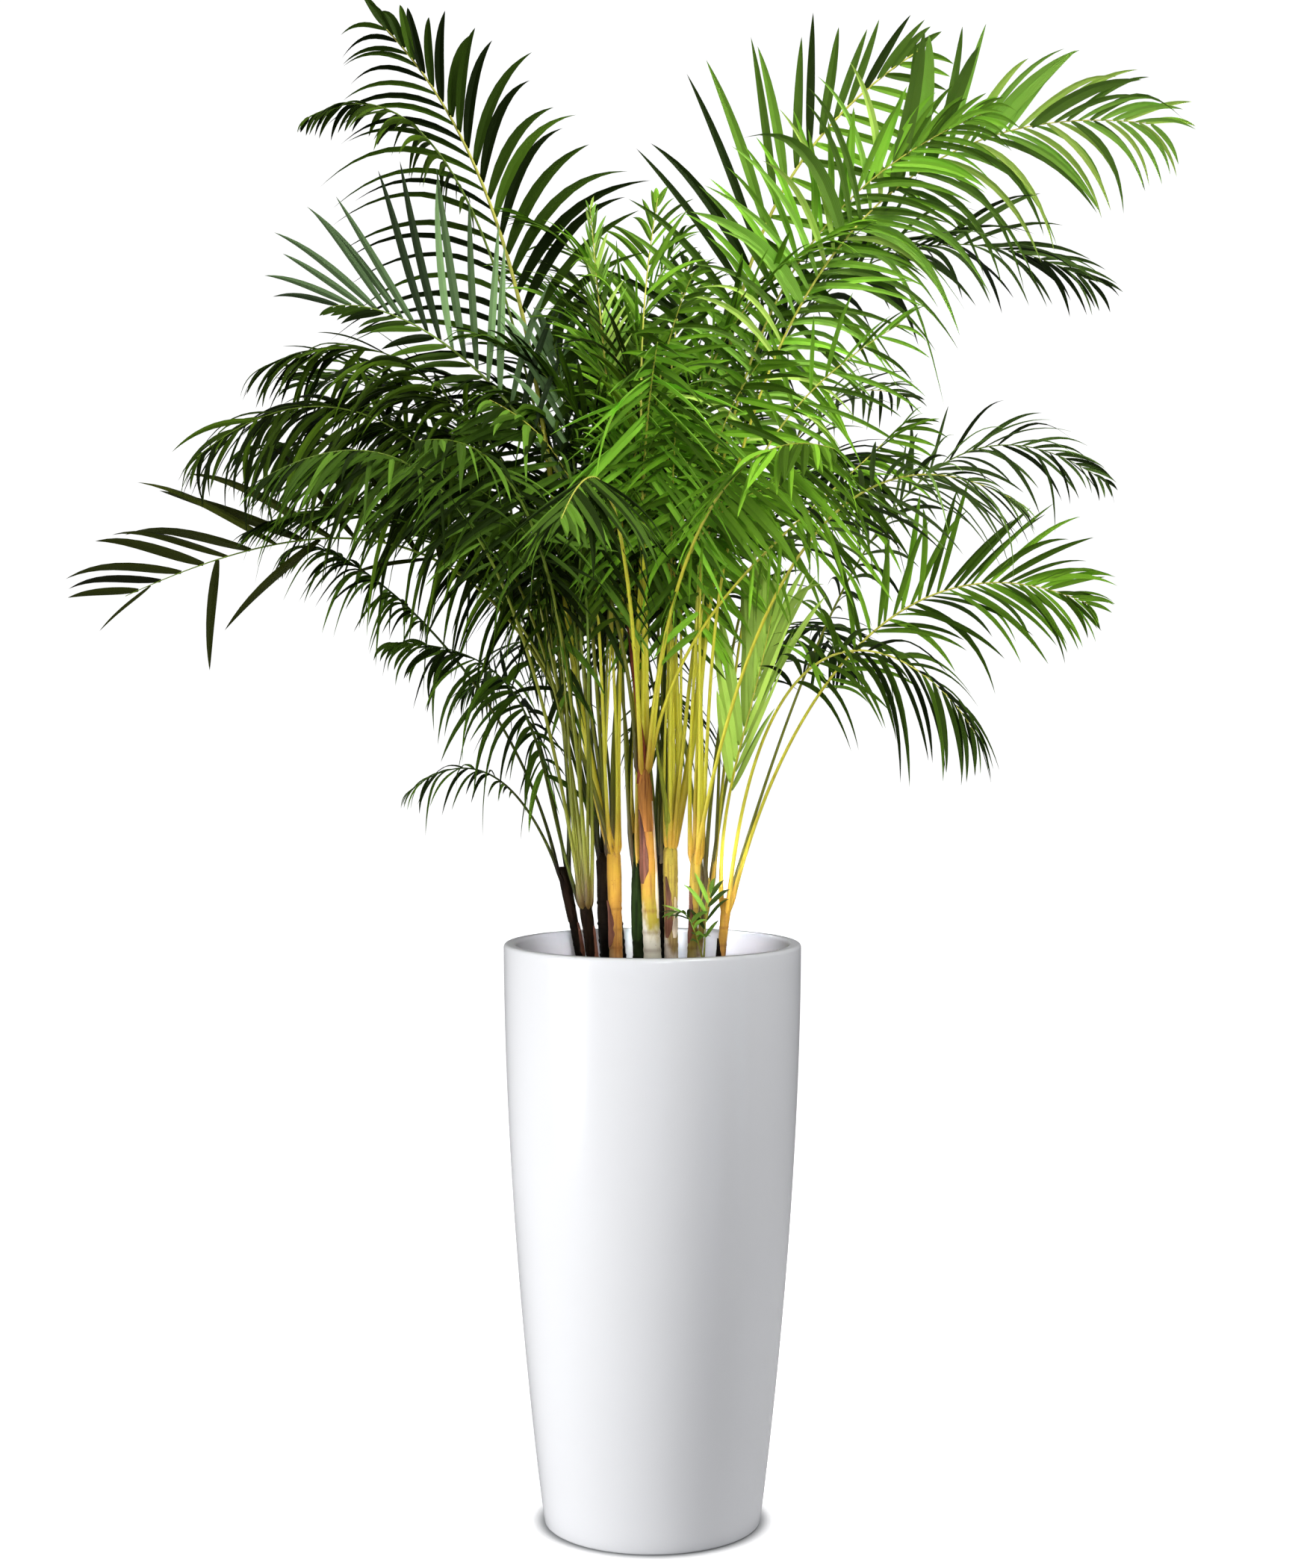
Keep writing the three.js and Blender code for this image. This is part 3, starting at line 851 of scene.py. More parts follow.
@dataclass(frozen=True)
class Cane:
    """One cane, in millimetres.

    Attributes:
        node: The solid that it replaces.
        foot: Where it meets the soil.
        top: Where its crownshaft ends.
        bark: Its colouring.
        seat: How far from its middle the stalks leave it.
        spear: The length of its unopened leaf, or 0 for none.
        bud: The colouring of that leaf.
        slim: Its girth as a share of the usual.
        swell: The girth of its crownshaft as a share of the stem's.
        hug: How far down the stalks clasp it.
        sheaths: Its dry sheaths.
    """

    node: str
    foot: tuple[float, float]
    top: tuple[float, float, float]
    bark: Bark
    seat: float = 8.0
    spear: float = 0.0
    bud: Husk = Husk.RUST
    slim: float = 1.0
    swell: float = 1.15
    hug: float = 60.0
    sheaths: tuple[Sheath, ...] = ()

    def centre(self, share: float) -> np.ndarray:
        """Return the middle of the cane at a share of its height above the soil."""
        start = np.array([*self.foot, SOIL_TOP])
        return start + (np.array(self.top) - start) * share


SOIL_TOP = 740.0
CANES: list[Cane] = [
    Cane(
        "cane_01", (-92, 20), (-122, 28, 890), Bark.DARK, slim=0.68, hug=30,
        sheaths=(Sheath(0.5, 0.95, 220, 170, Husk.SOOT), Sheath(0.2, 0.5, 320, 90, Husk.PLUM)),
    ),
    Cane(
        "cane_02", (-76, -34), (-90, -44, 850), Bark.DARK, slim=0.8, hug=14,
        sheaths=(Sheath(0.3, 0.9, 250, 150, Husk.SOOT), Sheath(0.1, 0.7, 320, 90, Husk.PLUM)),
    ),
    Cane("cane_03", (-52, 62), (-66, 78, 905), Bark.DARK, slim=1.8, swell=0.8),
    Cane(
        "cane_04", (-48, -10), (-52, -12, 920), Bark.TAN, slim=0.92, hug=14,
        sheaths=(Sheath(0.25, 0.6, 200, 90, Husk.PLUM),),
    ),
    Cane(
        "cane_05", (2, -38), (-12, -42, 1030), Bark.GOLD, seat=9, spear=195, slim=1.18, swell=0.86, hug=12,
        sheaths=(
            Sheath(0.46, 0.8, 216, 80, Husk.PLUM), Sheath(0.3, 0.84, 326, 36, Husk.PAPER),
            Sheath(0.7, 0.99, 280, 220),
        ),
    ),
    Cane(
        "cane_06", (26, 12), (24, 14, 925), Bark.BROWN, spear=150, bud=Husk.LEEK, slim=0.95, hug=14,
        sheaths=(Sheath(0.3, 0.75, 235, 70, Husk.PLUM), Sheath(0.3, 0.6, 300, 60, Husk.PAPER)),
    ),
    Cane(
        "cane_07", (52, -22), (58, -28, 912), Bark.OLIVE, slim=0.66, hug=16,
        sheaths=(Sheath(0.3, 0.75, 215, 80, Husk.PLUM),),
    ),
    Cane(
        "cane_08", (90, 14), (101, 18, 848), Bark.TAN, slim=0.62, hug=20,
        sheaths=(Sheath(0.0, 0.5, 200, 130, Husk.SOOT),),
    ),
    Cane("cane_09", (8, 84), (14, 100, 900), Bark.DARK, slim=0.95),
    Cane("cane_10", (60, 66), (76, 84, 870), Bark.BROWN, slim=0.5),
    Cane(
        "cane_11", (-16, 34), (-22, 40, 935), Bark.GREEN, slim=1.0, swell=0.75,
        sheaths=(Sheath(0.25, 0.8, 235, 190, Husk.MOSS), Sheath(0.4, 0.98, 290, 130, Husk.MOSS)),
    ),
    Cane("cane_12", (66, -50), (68, -52, 770), Bark.GREEN, seat=0, slim=0.4),
]


@dataclass
class CaneClump:
    """The canes with their leaf scars, sheaths and unopened leaves, in millimetres.

    Attributes:
        foot: The usual radius of a stem.
        sides: Points round a stem.
        steps: Rings along a stem.
        sink: How far a stem goes into the soil.
        scar_start: The height of the lowest leaf scar above the soil.
        scar_zone: The share of a cane's height that bears scars.
        scar_first: The step from the first scar to the next.
        scar_growth: How each step grows on the one below it.
        scar_band: The width of a scar's ridge.
        groove_at: How far beside its ridge a scar's groove lies.
        groove_band: The width of that groove.
        husk_half: Points on one face of a sheath's section.
        husk_steps: Sections along a sheath.
        bud_sides: Points round an unopened leaf.
        bud_steps: Rings along it.
        bud_pleats: Its folds.
        bud_girth: Its girth by its height, as shares of both.
        bud_twist: Its turn over its length, in radians.
        spear: Its radius.
        lean: How far its tip leans to the side.
        forward: How far it stands forward of its cane's middle.
    """

    foot: float = 9.5
    sides: int = 24
    steps: int = 64
    sink: float = 14.0
    scar_start: float = 9.0
    scar_zone: float = 0.72
    scar_first: float = 16.0
    scar_growth: float = 1.22
    scar_band: float = 1.9
    groove_at: float = 4.0
    groove_band: float = 2.4
    husk_half: int = 11
    husk_steps: int = 30
    bud_sides: int = 20
    bud_steps: int = 26
    bud_pleats: int = 5
    bud_girth: tuple[tuple[float, float], ...] = (
        (-0.12, 2.6), (0, 2.3), (0.14, 1.5), (0.3, 1.0), (0.7, 0.75), (1, 0.2),
    )
    bud_twist: float = 2.2
    spear: float = 3.2
    lean: float = 22.0
    forward: float = 13.0

    def girth(self, cane: Cane, share: float) -> float:
        """Return the cane's radius at a share of its height."""
        stops = [
            (-0.2, 1.35), (0.0, 1.28), (0.14, 1.05), (0.5, 1.0),
            (0.78, cane.swell), (0.93, 0.94 * cane.swell), (1.0, 0.6 * cane.swell),
        ]
        return self.foot * cane.slim * float(np.interp(share, *zip(*stops)))

    def scars(self, cane: Cane) -> list[float]:
        """Return the heights of the leaf scars as shares of the cane's height."""
        tall = cane.top[2] - SOIL_TOP
        places, at, step = [], self.scar_start, self.scar_first
        while at < self.scar_zone * tall:
            places.append(at / tall)
            at += step
            step *= self.scar_growth
        return places

    def build(self) -> None:
        """Make every cane with its sheaths and its unopened leaf."""
        barks = {bark: bark.value.make() for bark in Bark}
        husks = {husk: husk.value.make() for husk in Husk}
        for number, cane in enumerate(CANES):
            keep(self.stem(cane, number, barks[cane.bark]), [cane.node])
            for which, sheath in enumerate(cane.sheaths):
                name = f"{cane.node}_sheath_{which + 1}"
                keep(self.sheath(name, cane, sheath, husks[sheath.husk]), [cane.node])
            if cane.spear:
                node = cane.node.replace("cane", "spear")
                keep(self.new_leaf(f"{node}_skin", cane, husks[cane.bud]), [node])

    def stem(self, cane: Cane, number: int, bark: bpy.types.Material) -> bpy.types.Object:
        """Make one ringed stem.

        Args:
            cane: The cane.
            number: Its place in the clump, which seeds its unevenness.
            bark: Its material.

        Returns:
            The stem.
        """
        tall = cane.top[2] - SOIL_TOP
        shares = np.linspace(-self.sink / tall, 1.0, self.steps)
        scars = np.array(self.scars(cane))
        turn = full_turn(self.sides)
        rings, marks = [], []
        for share in shares:
            off = np.abs(scars - share).min() * tall
            mark = math.exp(-((off / self.scar_band) ** 2))
            groove = math.exp(-(((off - self.groove_at) / self.groove_band) ** 2))
            radius = self.girth(cane, share) + cane.slim * (0.6 * mark - 0.3 * groove)
            level = share * 4 + number * 9
            wobble = [
                1 + 0.05 * noise.noise(Vector((1.3 * math.cos(t), 1.3 * math.sin(t), level)))
                + 0.06 * max(0.0, share - 0.6) * math.cos(3 * t + number)
                for t in turn
            ]
            rings.append(ring_at(*cane.centre(share), radius * np.array(wobble), turn))
            marks.append(mark)
        stored = {"along": np.clip(shares, 0, 1), "scar": np.array(marks)}
        return loft(f"{cane.node}_stem", np.array(rings) * MM, bark, stored)

    def sheath(self, name: str, cane: Cane, sheath: Sheath, husk: bpy.types.Material) -> bpy.types.Object:
        """Make one dry sheath that clasps a cane: a crescent in section, torn to a point at its top.

        Args:
            name: The piece's name.
            cane: The cane it clasps.
            sheath: Its place and reach.
            husk: Its material.

        Returns:
            The sheath.
        """
        half = self.husk_half
        rings, along = [], np.linspace(0, 1, self.husk_steps)
        for v in along:
            share = sheath.low + (sheath.high - sheath.low) * v
            ragged = 1 + 0.3 * noise.noise(Vector((v * 9, sheath.turn, share)))
            taper = (1 - v**1.7) ** 0.8 * min(1.0, 0.3 + 4 * v)
            reach = math.radians(sheath.wide) / 2 * ragged * taper + 0.06
            swing = math.radians(sheath.turn + 18 * math.sin(3 * v))
            angles = np.linspace(swing - reach, swing + reach, half)
            inner = self.girth(cane, min(share, 0.95)) * 1.03
            lift = 0.9 + 1.6 * v**3
            edge = 1 - 0.75 * np.abs(np.linspace(-1, 1, half)) ** 3
            outer = inner + lift * (0.25 + 0.75 * edge)
            arc = np.concatenate([angles, angles[::-1]])
            r = np.concatenate([outer, np.full(half, inner) + 0.8 * v**3 - 0.5])
            rings.append(ring_at(*cane.centre(share), r, arc))
        return loft(name, np.array(rings) * MM, husk, {"along": along})

    def new_leaf(self, name: str, cane: Cane, young: bpy.types.Material) -> bpy.types.Object:
        """Make the folded new leaf on a cane: pleated, leaning a little and drawn to a point."""
        turn = full_turn(self.bud_sides)
        pleat = 1 + 0.16 * np.cos(self.bud_pleats * turn)
        rings, along = [], np.linspace(-0.12, 1, self.bud_steps)
        for v in along:
            r = float(np.interp(v, *zip(*self.bud_girth))) * self.spear
            x = cane.top[0] - self.lean * max(0.0, v) ** 1.2
            y = cane.top[1] - self.forward * min(1.0, 4 * max(0.0, v))
            rings.append(ring_at(x, y, cane.top[2] + cane.spear * v, r * pleat, turn + self.bud_twist * v))
        return loft(name, np.array(rings) * MM, young, {"along": np.clip(along, 0, 1)})


@dataclass(frozen=True)
class Frond:
    """One frond: its place on a cane, its arch and its leaflets' habit, in millimetres and degrees.

    Attributes:
        node: The solid that it stands for.
        cane: The number of its cane.
        seat: The compass turn of its foot round the cane.
        heading: The compass turn that it leans to.
        reach: How far its tip stands from the cane.
        tip: The height of its tip.
        launch: How far its foot leans from upright.
        nod: The angle at which its tip still rises, below zero where it hangs.
        tone: Its leaf green.
        stalk: The colouring of its stalk.
        rise: The stiffness of its lower half.
        fall: The stiffness of its upper half.
        bare: The share of its length without leaflets.
        roll: The turn of the blade round the rib.
        keel: How far the two rows of leaflets fold up.
        skew: The degrees added to the right-hand leaflets' angle and taken from the left.
        lop: The share added to the right-hand leaflets' length and taken from the left.
        leaf: The longest leaflet.
        sag: How far the leaflets bend down, as a share of their length.
        curl: How far they bend back to the foot.
        spread: Their angle to the rib, as a share of the usual.
        pairs: Their number on each hand.
        wide: Their width.
        left_wide: The width of the left-hand leaflets, as a share of the right.
        slim: The girth of the stalk, as a share of the usual.
        wild: Their unevenness.
        droop: The downward pull on the left and right hand.
        gaps: The share of missing leaflets on each hand.
        limp: The share of right-hand leaflets that hang straight down.
        broad: The share of leaflets that are still two in one.
        tip_share: The length of the last leaflet, as a share of the longest.
        tip_turn: The angle of the last leaflet to the rib.
        left_tone: The leaf green on the left hand, where it differs.
    """

    node: str
    cane: int
    seat: float
    heading: float
    reach: float
    tip: float
    launch: float
    nod: float
    tone: Tone
    stalk: Stalk
    rise: float = 0.5
    fall: float = 0.4
    bare: float = 0.4
    roll: float = 0.0
    keel: float = 10.0
    skew: float = 0.0
    lop: float = 0.0
    leaf: float = 200.0
    sag: float = 0.3
    curl: float = 0.1
    spread: float = 1.0
    pairs: int = 34
    wide: float = 10.0
    left_wide: float = 1.0
    slim: float = 1.0
    wild: float = 0.45
    droop: tuple[float, float] = (0.0, 0.0)
    gaps: tuple[float, float] = (0.0, 0.0)
    limp: float = 0.0
    broad: float = 0.0
    tip_share: float = 0.25
    tip_turn: float = 24.0
    left_tone: Tone | None = None

    def line(self, count: int = 120) -> np.ndarray:
        """Return points evenly spaced along the rib."""
        cane = CANES[self.cane - 1]
        top, up = np.array(cane.top, float), -DOWN
        heading, seat = math.radians(self.heading), math.radians(self.seat)
        out = np.array([math.cos(heading), math.sin(heading), 0.0])
        foot = top + np.array([cane.seat * math.cos(seat), cane.seat * math.sin(seat), 0.3])
        tip = top + out * self.reach
        tip[2] = self.tip
        chord = np.linalg.norm(tip - foot)
        lean, slope = math.radians(self.launch), math.radians(self.nod)
        low = foot + self.rise * chord * (out * math.sin(lean) + up * math.cos(lean))
        high = tip - self.fall * chord * (out * math.cos(slope) + up * math.sin(slope))
        t = np.linspace(0, 1, 400)[:, None]
        curve = (1 - t) ** 3 * foot + 3 * (1 - t) ** 2 * t * low + 3 * (1 - t) * t**2 * high + t**3 * tip
        run = np.concatenate([[0], np.cumsum(np.linalg.norm(np.diff(curve, axis=0), axis=1))])
        even = np.linspace(0, run[-1], count)
        return np.column_stack([np.interp(even, run, curve[:, k]) for k in range(3)])

    def axes(self, points: np.ndarray) -> tuple[np.ndarray, np.ndarray, np.ndarray]:
        """Return the blade's own axes at each point: along the rib, to its side, and out of its face."""
        heading, roll = math.radians(self.heading), math.radians(self.roll)
        level = np.array([-math.sin(heading), math.cos(heading), 0.0])
        along = unit(np.gradient(points, axis=0))
        face = unit(np.cross(along, level))
        side = np.cross(face, along)
        return (
            along,
            side * math.cos(roll) + face * math.sin(roll),
            face * math.cos(roll) - side * math.sin(roll),
        )

    def girth(self, s: float) -> float:
        """Return the rib's radius at a share of its length."""
        stops = [(0.0, 4.0), (0.05, 3.3), (0.16, 2.7)]
        stops += [(self.bare, 2.2), (self.bare + 0.2, 1.6), (1.0, 0.55)]
        return self.slim * float(np.interp(s, *zip(*stops)))


# Habits that several fronds share
Habit = dict[str, float | tuple[float, float]]
HIGH_BACK: Habit = {"rise": 0.55, "fall": 0.45}
LOW_BACK: Habit = {"rise": 0.6, "fall": 0.5, "keel": 5, "sag": 0.4}
THIN_BACK: Habit = {**LOW_BACK, "droop": (0.8, 0.8), "wild": 0.9}
NEAR: Habit = {"curl": 0, "wild": 0.3}
INNER: Habit = {"wild": 0.5, "spread": 0.75}
TWIG: Habit = {"pairs": 12, "bare": 0.6, "spread": 0.55}
DUSKY: Habit = {"leaf": 120, "pairs": 16, "bare": 0.6, "spread": 0.55}
SLENDER: Habit = {"leaf": 130, "pairs": 16, "slim": 0.85, "spread": 0.55, "bare": 0.64}
SPARSE: Habit = {"pairs": 18, "wild": 0.8, "bare": 0.62, "spread": 0.55}

# One frond for each solid
FRONDS: list[Frond] = [
    Frond("frond_01", 4, 120, 180, 310, 2015, 17, 45, Tone.DARK, Stalk.GOLD, rise=0.3, fall=0.33,
          bare=0.36, roll=78, keel=8, skew=-3, lop=-0.04, leaf=290, sag=0.24, curl=0.3, spread=0.78,
          pairs=29, wide=15, left_wide=0.6, wild=0.12, tip_share=0.2, slim=1.9),
    Frond("frond_02", 5, 190, 182, 412, 1634, 2, -13, Tone.DARK, Stalk.GREEN, rise=0.58, fall=0.17,
          bare=0.58, roll=-75, keel=15, lop=-0.5, leaf=180, sag=0.08, spread=0.8, pairs=17, wide=11,
          wild=0.15, left_tone=Tone.BLUE),
    Frond("frond_03", 2, 95, 178, 515, 1440, 2, -40, Tone.OLIVE, Stalk.GREEN, rise=0.62, fall=0.42,
          roll=-40, keel=5, leaf=215, sag=0.4, wild=0.8, pairs=44, wide=9, droop=(0.35, 0.9)),
    Frond("frond_04", 3, 200, 172, 510, 1466, 14, -10, Tone.DARK, Stalk.DARK, roll=-20, keel=5, sag=0.4,
          wild=0.8, pairs=44, wide=9, leaf=190, droop=(0.35, 0.9)),
    Frond("frond_05", 4, -120, 184, 645, 1255, 14, -25, Tone.UMBER, Stalk.GREEN, rise=0.66, fall=0.45,
          bare=0.45, roll=-52, keel=12, leaf=225, sag=0.06, spread=0.85, pairs=14, wide=14, wild=0.3,
          limp=0.3, lop=-0.12, tip_share=0.36, gaps=(0.0, 0.84)),
    Frond("frond_06", 1, 150, 180, 377, 1303, 12, -80, Tone.DARK, Stalk.DARK, rise=0.55, fall=0.17,
          bare=0.6, roll=-10, keel=0, leaf=85, sag=0.7, wide=8, wild=0.6),
    Frond("frond_07", 2, 175, 176, 262, 1194, 19, 0, Tone.DARK, Stalk.DARK, rise=0.48, fall=0.52,
          bare=0.35, roll=-30, leaf=140, pairs=24, wide=10, curl=0.3, sag=0.2, wild=0.9,
          droop=(0.9, 0.9)),
    Frond("frond_08", 1, -150, 184, 212, 990, 22, -40, Tone.DARK, Stalk.DARK, rise=0.6, fall=0.5,
          roll=-10, keel=0, leaf=75, sag=0.5, pairs=12, wide=6),
    Frond("frond_09", 6, 50, 2, 332, 1985, 13, 33, Tone.MID, Stalk.GOLD, rise=0.41, fall=0.39, bare=0.38,
          roll=-75, leaf=245, sag=0.1, curl=0.05, wild=0.12, pairs=24, wide=13, tip_turn=12,
          tip_share=0.2, droop=(0.0, 1.3), slim=1.8, left_tone=Tone.LEAF),
    Frond("frond_10", 7, 100, -2, 600, 1873, 0, -8, Tone.LIGHT, Stalk.GOLD, rise=0.57, fall=0.36,
          roll=-50, leaf=258, sag=0.32, curl=0.2, spread=1.0, wild=0.2, pairs=44, wide=10, broad=0.05,
          tip_share=0.28),
    Frond("frond_11", 6, -60, -14, 420, 1880, 6, 20, Tone.FRESH, Stalk.GOLD, fall=0.35, roll=-60,
          leaf=200, wild=0.3, pairs=38, wide=10, tip_turn=14),
    Frond("frond_12", 10, -110, 5, 533, 1695, -4, -27, Tone.GREY, Stalk.GREEN, rise=0.95, fall=0.24,
          bare=0.45, roll=-20, leaf=215, wild=0.5, wide=10),
    Frond("frond_13", 7, -20, -10, 270, 1610, 3, 30, Tone.FRESH, Stalk.GOLD, roll=-40, pairs=14, wide=7,
          sag=0.15, droop=(0.5, 0.9), leaf=170, bare=0.48, **NEAR),
    Frond("frond_14", 5, 20, -14, 350, 1480, 9, 45, Tone.MID, Stalk.GOLD, rise=0.4, fall=0.35, bare=0.52,
          roll=-20, leaf=165, sag=0.12, pairs=20, wide=8, droop=(1.4, 1.4), **NEAR),
    Frond("frond_15", 8, 70, 4, 520, 1410, 17, -35, Tone.GREY, Stalk.GREEN, rise=0.57, fall=0.42,
          bare=0.38, roll=-30, leaf=170, pairs=32, wide=7, tip_share=0.12),
    Frond("frond_16", 8, 0, -6, 484, 1244, 14, -25, Tone.MID, Stalk.GOLD, rise=0.44, fall=0.45, bare=0.42,
          roll=-45, keel=15, leaf=205, sag=0.2, pairs=34, wide=9, tip_share=0.15),
    Frond("frond_17", 8, -75, -14, 340, 1066, 6, -62, Tone.DARK, Stalk.GOLD, rise=1.2, fall=0.35,
          bare=0.48, roll=-35, keel=0, leaf=155, sag=0.6, pairs=18, wide=10, wild=0.2),
    Frond("frond_18", 11, -80, -85, 330, 1560, 3, 20, Tone.FRESH, Stalk.GOLD, bare=0.5, keel=5, leaf=215,
          sag=0.1, curl=0, wild=0.25, pairs=26, wide=13, droop=(1.7, 1.7)),
    Frond("frond_19", 5, 120, 185, 70, 1765, 3, 85, Tone.LIGHT, Stalk.GOLD, rise=0.38, fall=0.38,
          bare=0.5, roll=60, keel=30, leaf=80, sag=0, spread=0.6, pairs=34, wide=5, wild=0.1),
    Frond("frond_20", 8, 180, -10, 60, 1230, -2, 80, Tone.LIME, Stalk.GOLD, rise=0.38, fall=0.38,
          bare=0.36, roll=60, keel=30, leaf=225, sag=0.02, curl=0, spread=0.42, pairs=11, wide=17,
          wild=0.25),
    Frond("frond_21", 12, 10, 14, 12, 866, 6, 70, Tone.LEAF, Stalk.GREEN, rise=0.38, fall=0.38, bare=0.3,
          roll=60, leaf=60, sag=0.1, pairs=4, wide=7, slim=0.4, spread=0.6),
    Frond("frond_22", 9, -90, 90, 520, 1500, 6, -20, Tone.DEEP, Stalk.GREEN, roll=10, leaf=220,
          **HIGH_BACK),
    Frond("frond_23", 10, 120, 62, 560, 1400, 8, -35, Tone.DEEP, Stalk.GREEN, roll=-15, leaf=170,
          **HIGH_BACK),
    Frond("frond_24", 3, 60, 122, 560, 1420, 8, -30, Tone.DEEP, Stalk.DARK, roll=15, leaf=220,
          **HIGH_BACK),
    Frond("frond_25", 10, -20, 45, 430, 1560, 8, -10, Tone.GREY, Stalk.GOLD, roll=-20, leaf=150, pairs=24,
          wide=7),
    Frond("frond_26", 3, -60, 146, 540, 1580, 8, -5, Tone.DARK, Stalk.GREEN, roll=20, leaf=220),
    Frond("frond_27", 9, 20, 72, 280, 1640, 4, 25, Tone.LEAF, Stalk.GOLD, rise=0.45, bare=0.38, roll=-10,
          keel=15),
    Frond("frond_28", 9, 150, 106, 600, 1220, 14, -40, Tone.DEEP, Stalk.GREEN, bare=0.42, roll=10,
          leaf=200, **LOW_BACK),
    Frond("frond_29", 10, 48, 62, 480, 1150, 16, -40, Tone.DEEP, Stalk.GREEN, bare=0.42, roll=-10,
          leaf=130, pairs=20, wide=8, **LOW_BACK),
    Frond("frond_30", 3, 136, 118, 450, 1120, 18, -40, Tone.DEEP, Stalk.DARK, bare=0.42, roll=10,
          leaf=100, pairs=14, wide=8, **THIN_BACK),
    Frond("frond_31", 9, 88, 88, 420, 1040, 22, -45, Tone.DEEP, Stalk.GREEN, bare=0.4, leaf=150, pairs=20,
          wide=8, **THIN_BACK),
    Frond("frond_32", 11, 120, 108, 360, 1230, 9, -45, Tone.DEEP, Stalk.GREEN, bare=0.45, roll=5,
          leaf=150, pairs=24, **THIN_BACK),
    Frond("frond_33", 10, 190, 112, 440, 1160, 13, -45, Tone.DEEP, Stalk.GREEN, bare=0.42, roll=5,
          leaf=100, pairs=14, wide=8, **THIN_BACK),
    Frond("frond_34", 1, 50, 150, 170, 1120, 13, -40, Tone.DEEP, Stalk.DARK, bare=0.4, roll=5, leaf=90,
          pairs=14, wide=7, **THIN_BACK),
    Frond("frond_35", 5, -50, -58, 430, 1420, 8, -15, Tone.MID, Stalk.GOLD, bare=0.54, roll=-15, sag=0.12,
          pairs=28, wide=12, droop=(1.2, 1.2), leaf=165, tip_share=0.15, **NEAR),
    Frond("frond_36", 2, -60, -118, 400, 1430, 6, -10, Tone.LEAF, Stalk.GREEN, rise=0.55, bare=0.54,
          roll=15, sag=0.15, curl=0, wild=0.4, pairs=26, wide=9, droop=(1.1, 1.1), leaf=150,
          tip_share=0.15),
    Frond("frond_37", 7, -80, -34, 480, 1360, 12, -30, Tone.GREY, Stalk.GOLD, roll=-20, leaf=150, sag=0.3,
          pairs=24, wide=7, droop=(0.3, 0.3), bare=0.54, tip_share=0.15, **HIGH_BACK, **NEAR),
    Frond("frond_38", 2, -120, -146, 470, 1390, 10, -30, Tone.LEAF, Stalk.GREEN, roll=15, sag=0.2, curl=0,
          wild=0.5, pairs=32, droop=(0.9, 0.9), bare=0.54, leaf=150, wide=8, **HIGH_BACK),
    Frond("frond_39", 5, -110, -100, 520, 1330, 12, -30, Tone.LEAF, Stalk.GOLD, rise=0.6, fall=0.45,
          roll=5, leaf=150, sag=0.15, pairs=28, wide=12, droop=(1.0, 1.0), bare=0.54, tip_share=0.15,
          **NEAR),
    Frond("frond_40", 11, 0, -72, 240, 1660, 4, 30, Tone.MID, Stalk.GOLD, rise=0.45, bare=0.38, keel=15,
          sag=0.15, pairs=18, wide=9, droop=(1.0, 1.0), leaf=120, **NEAR),
]

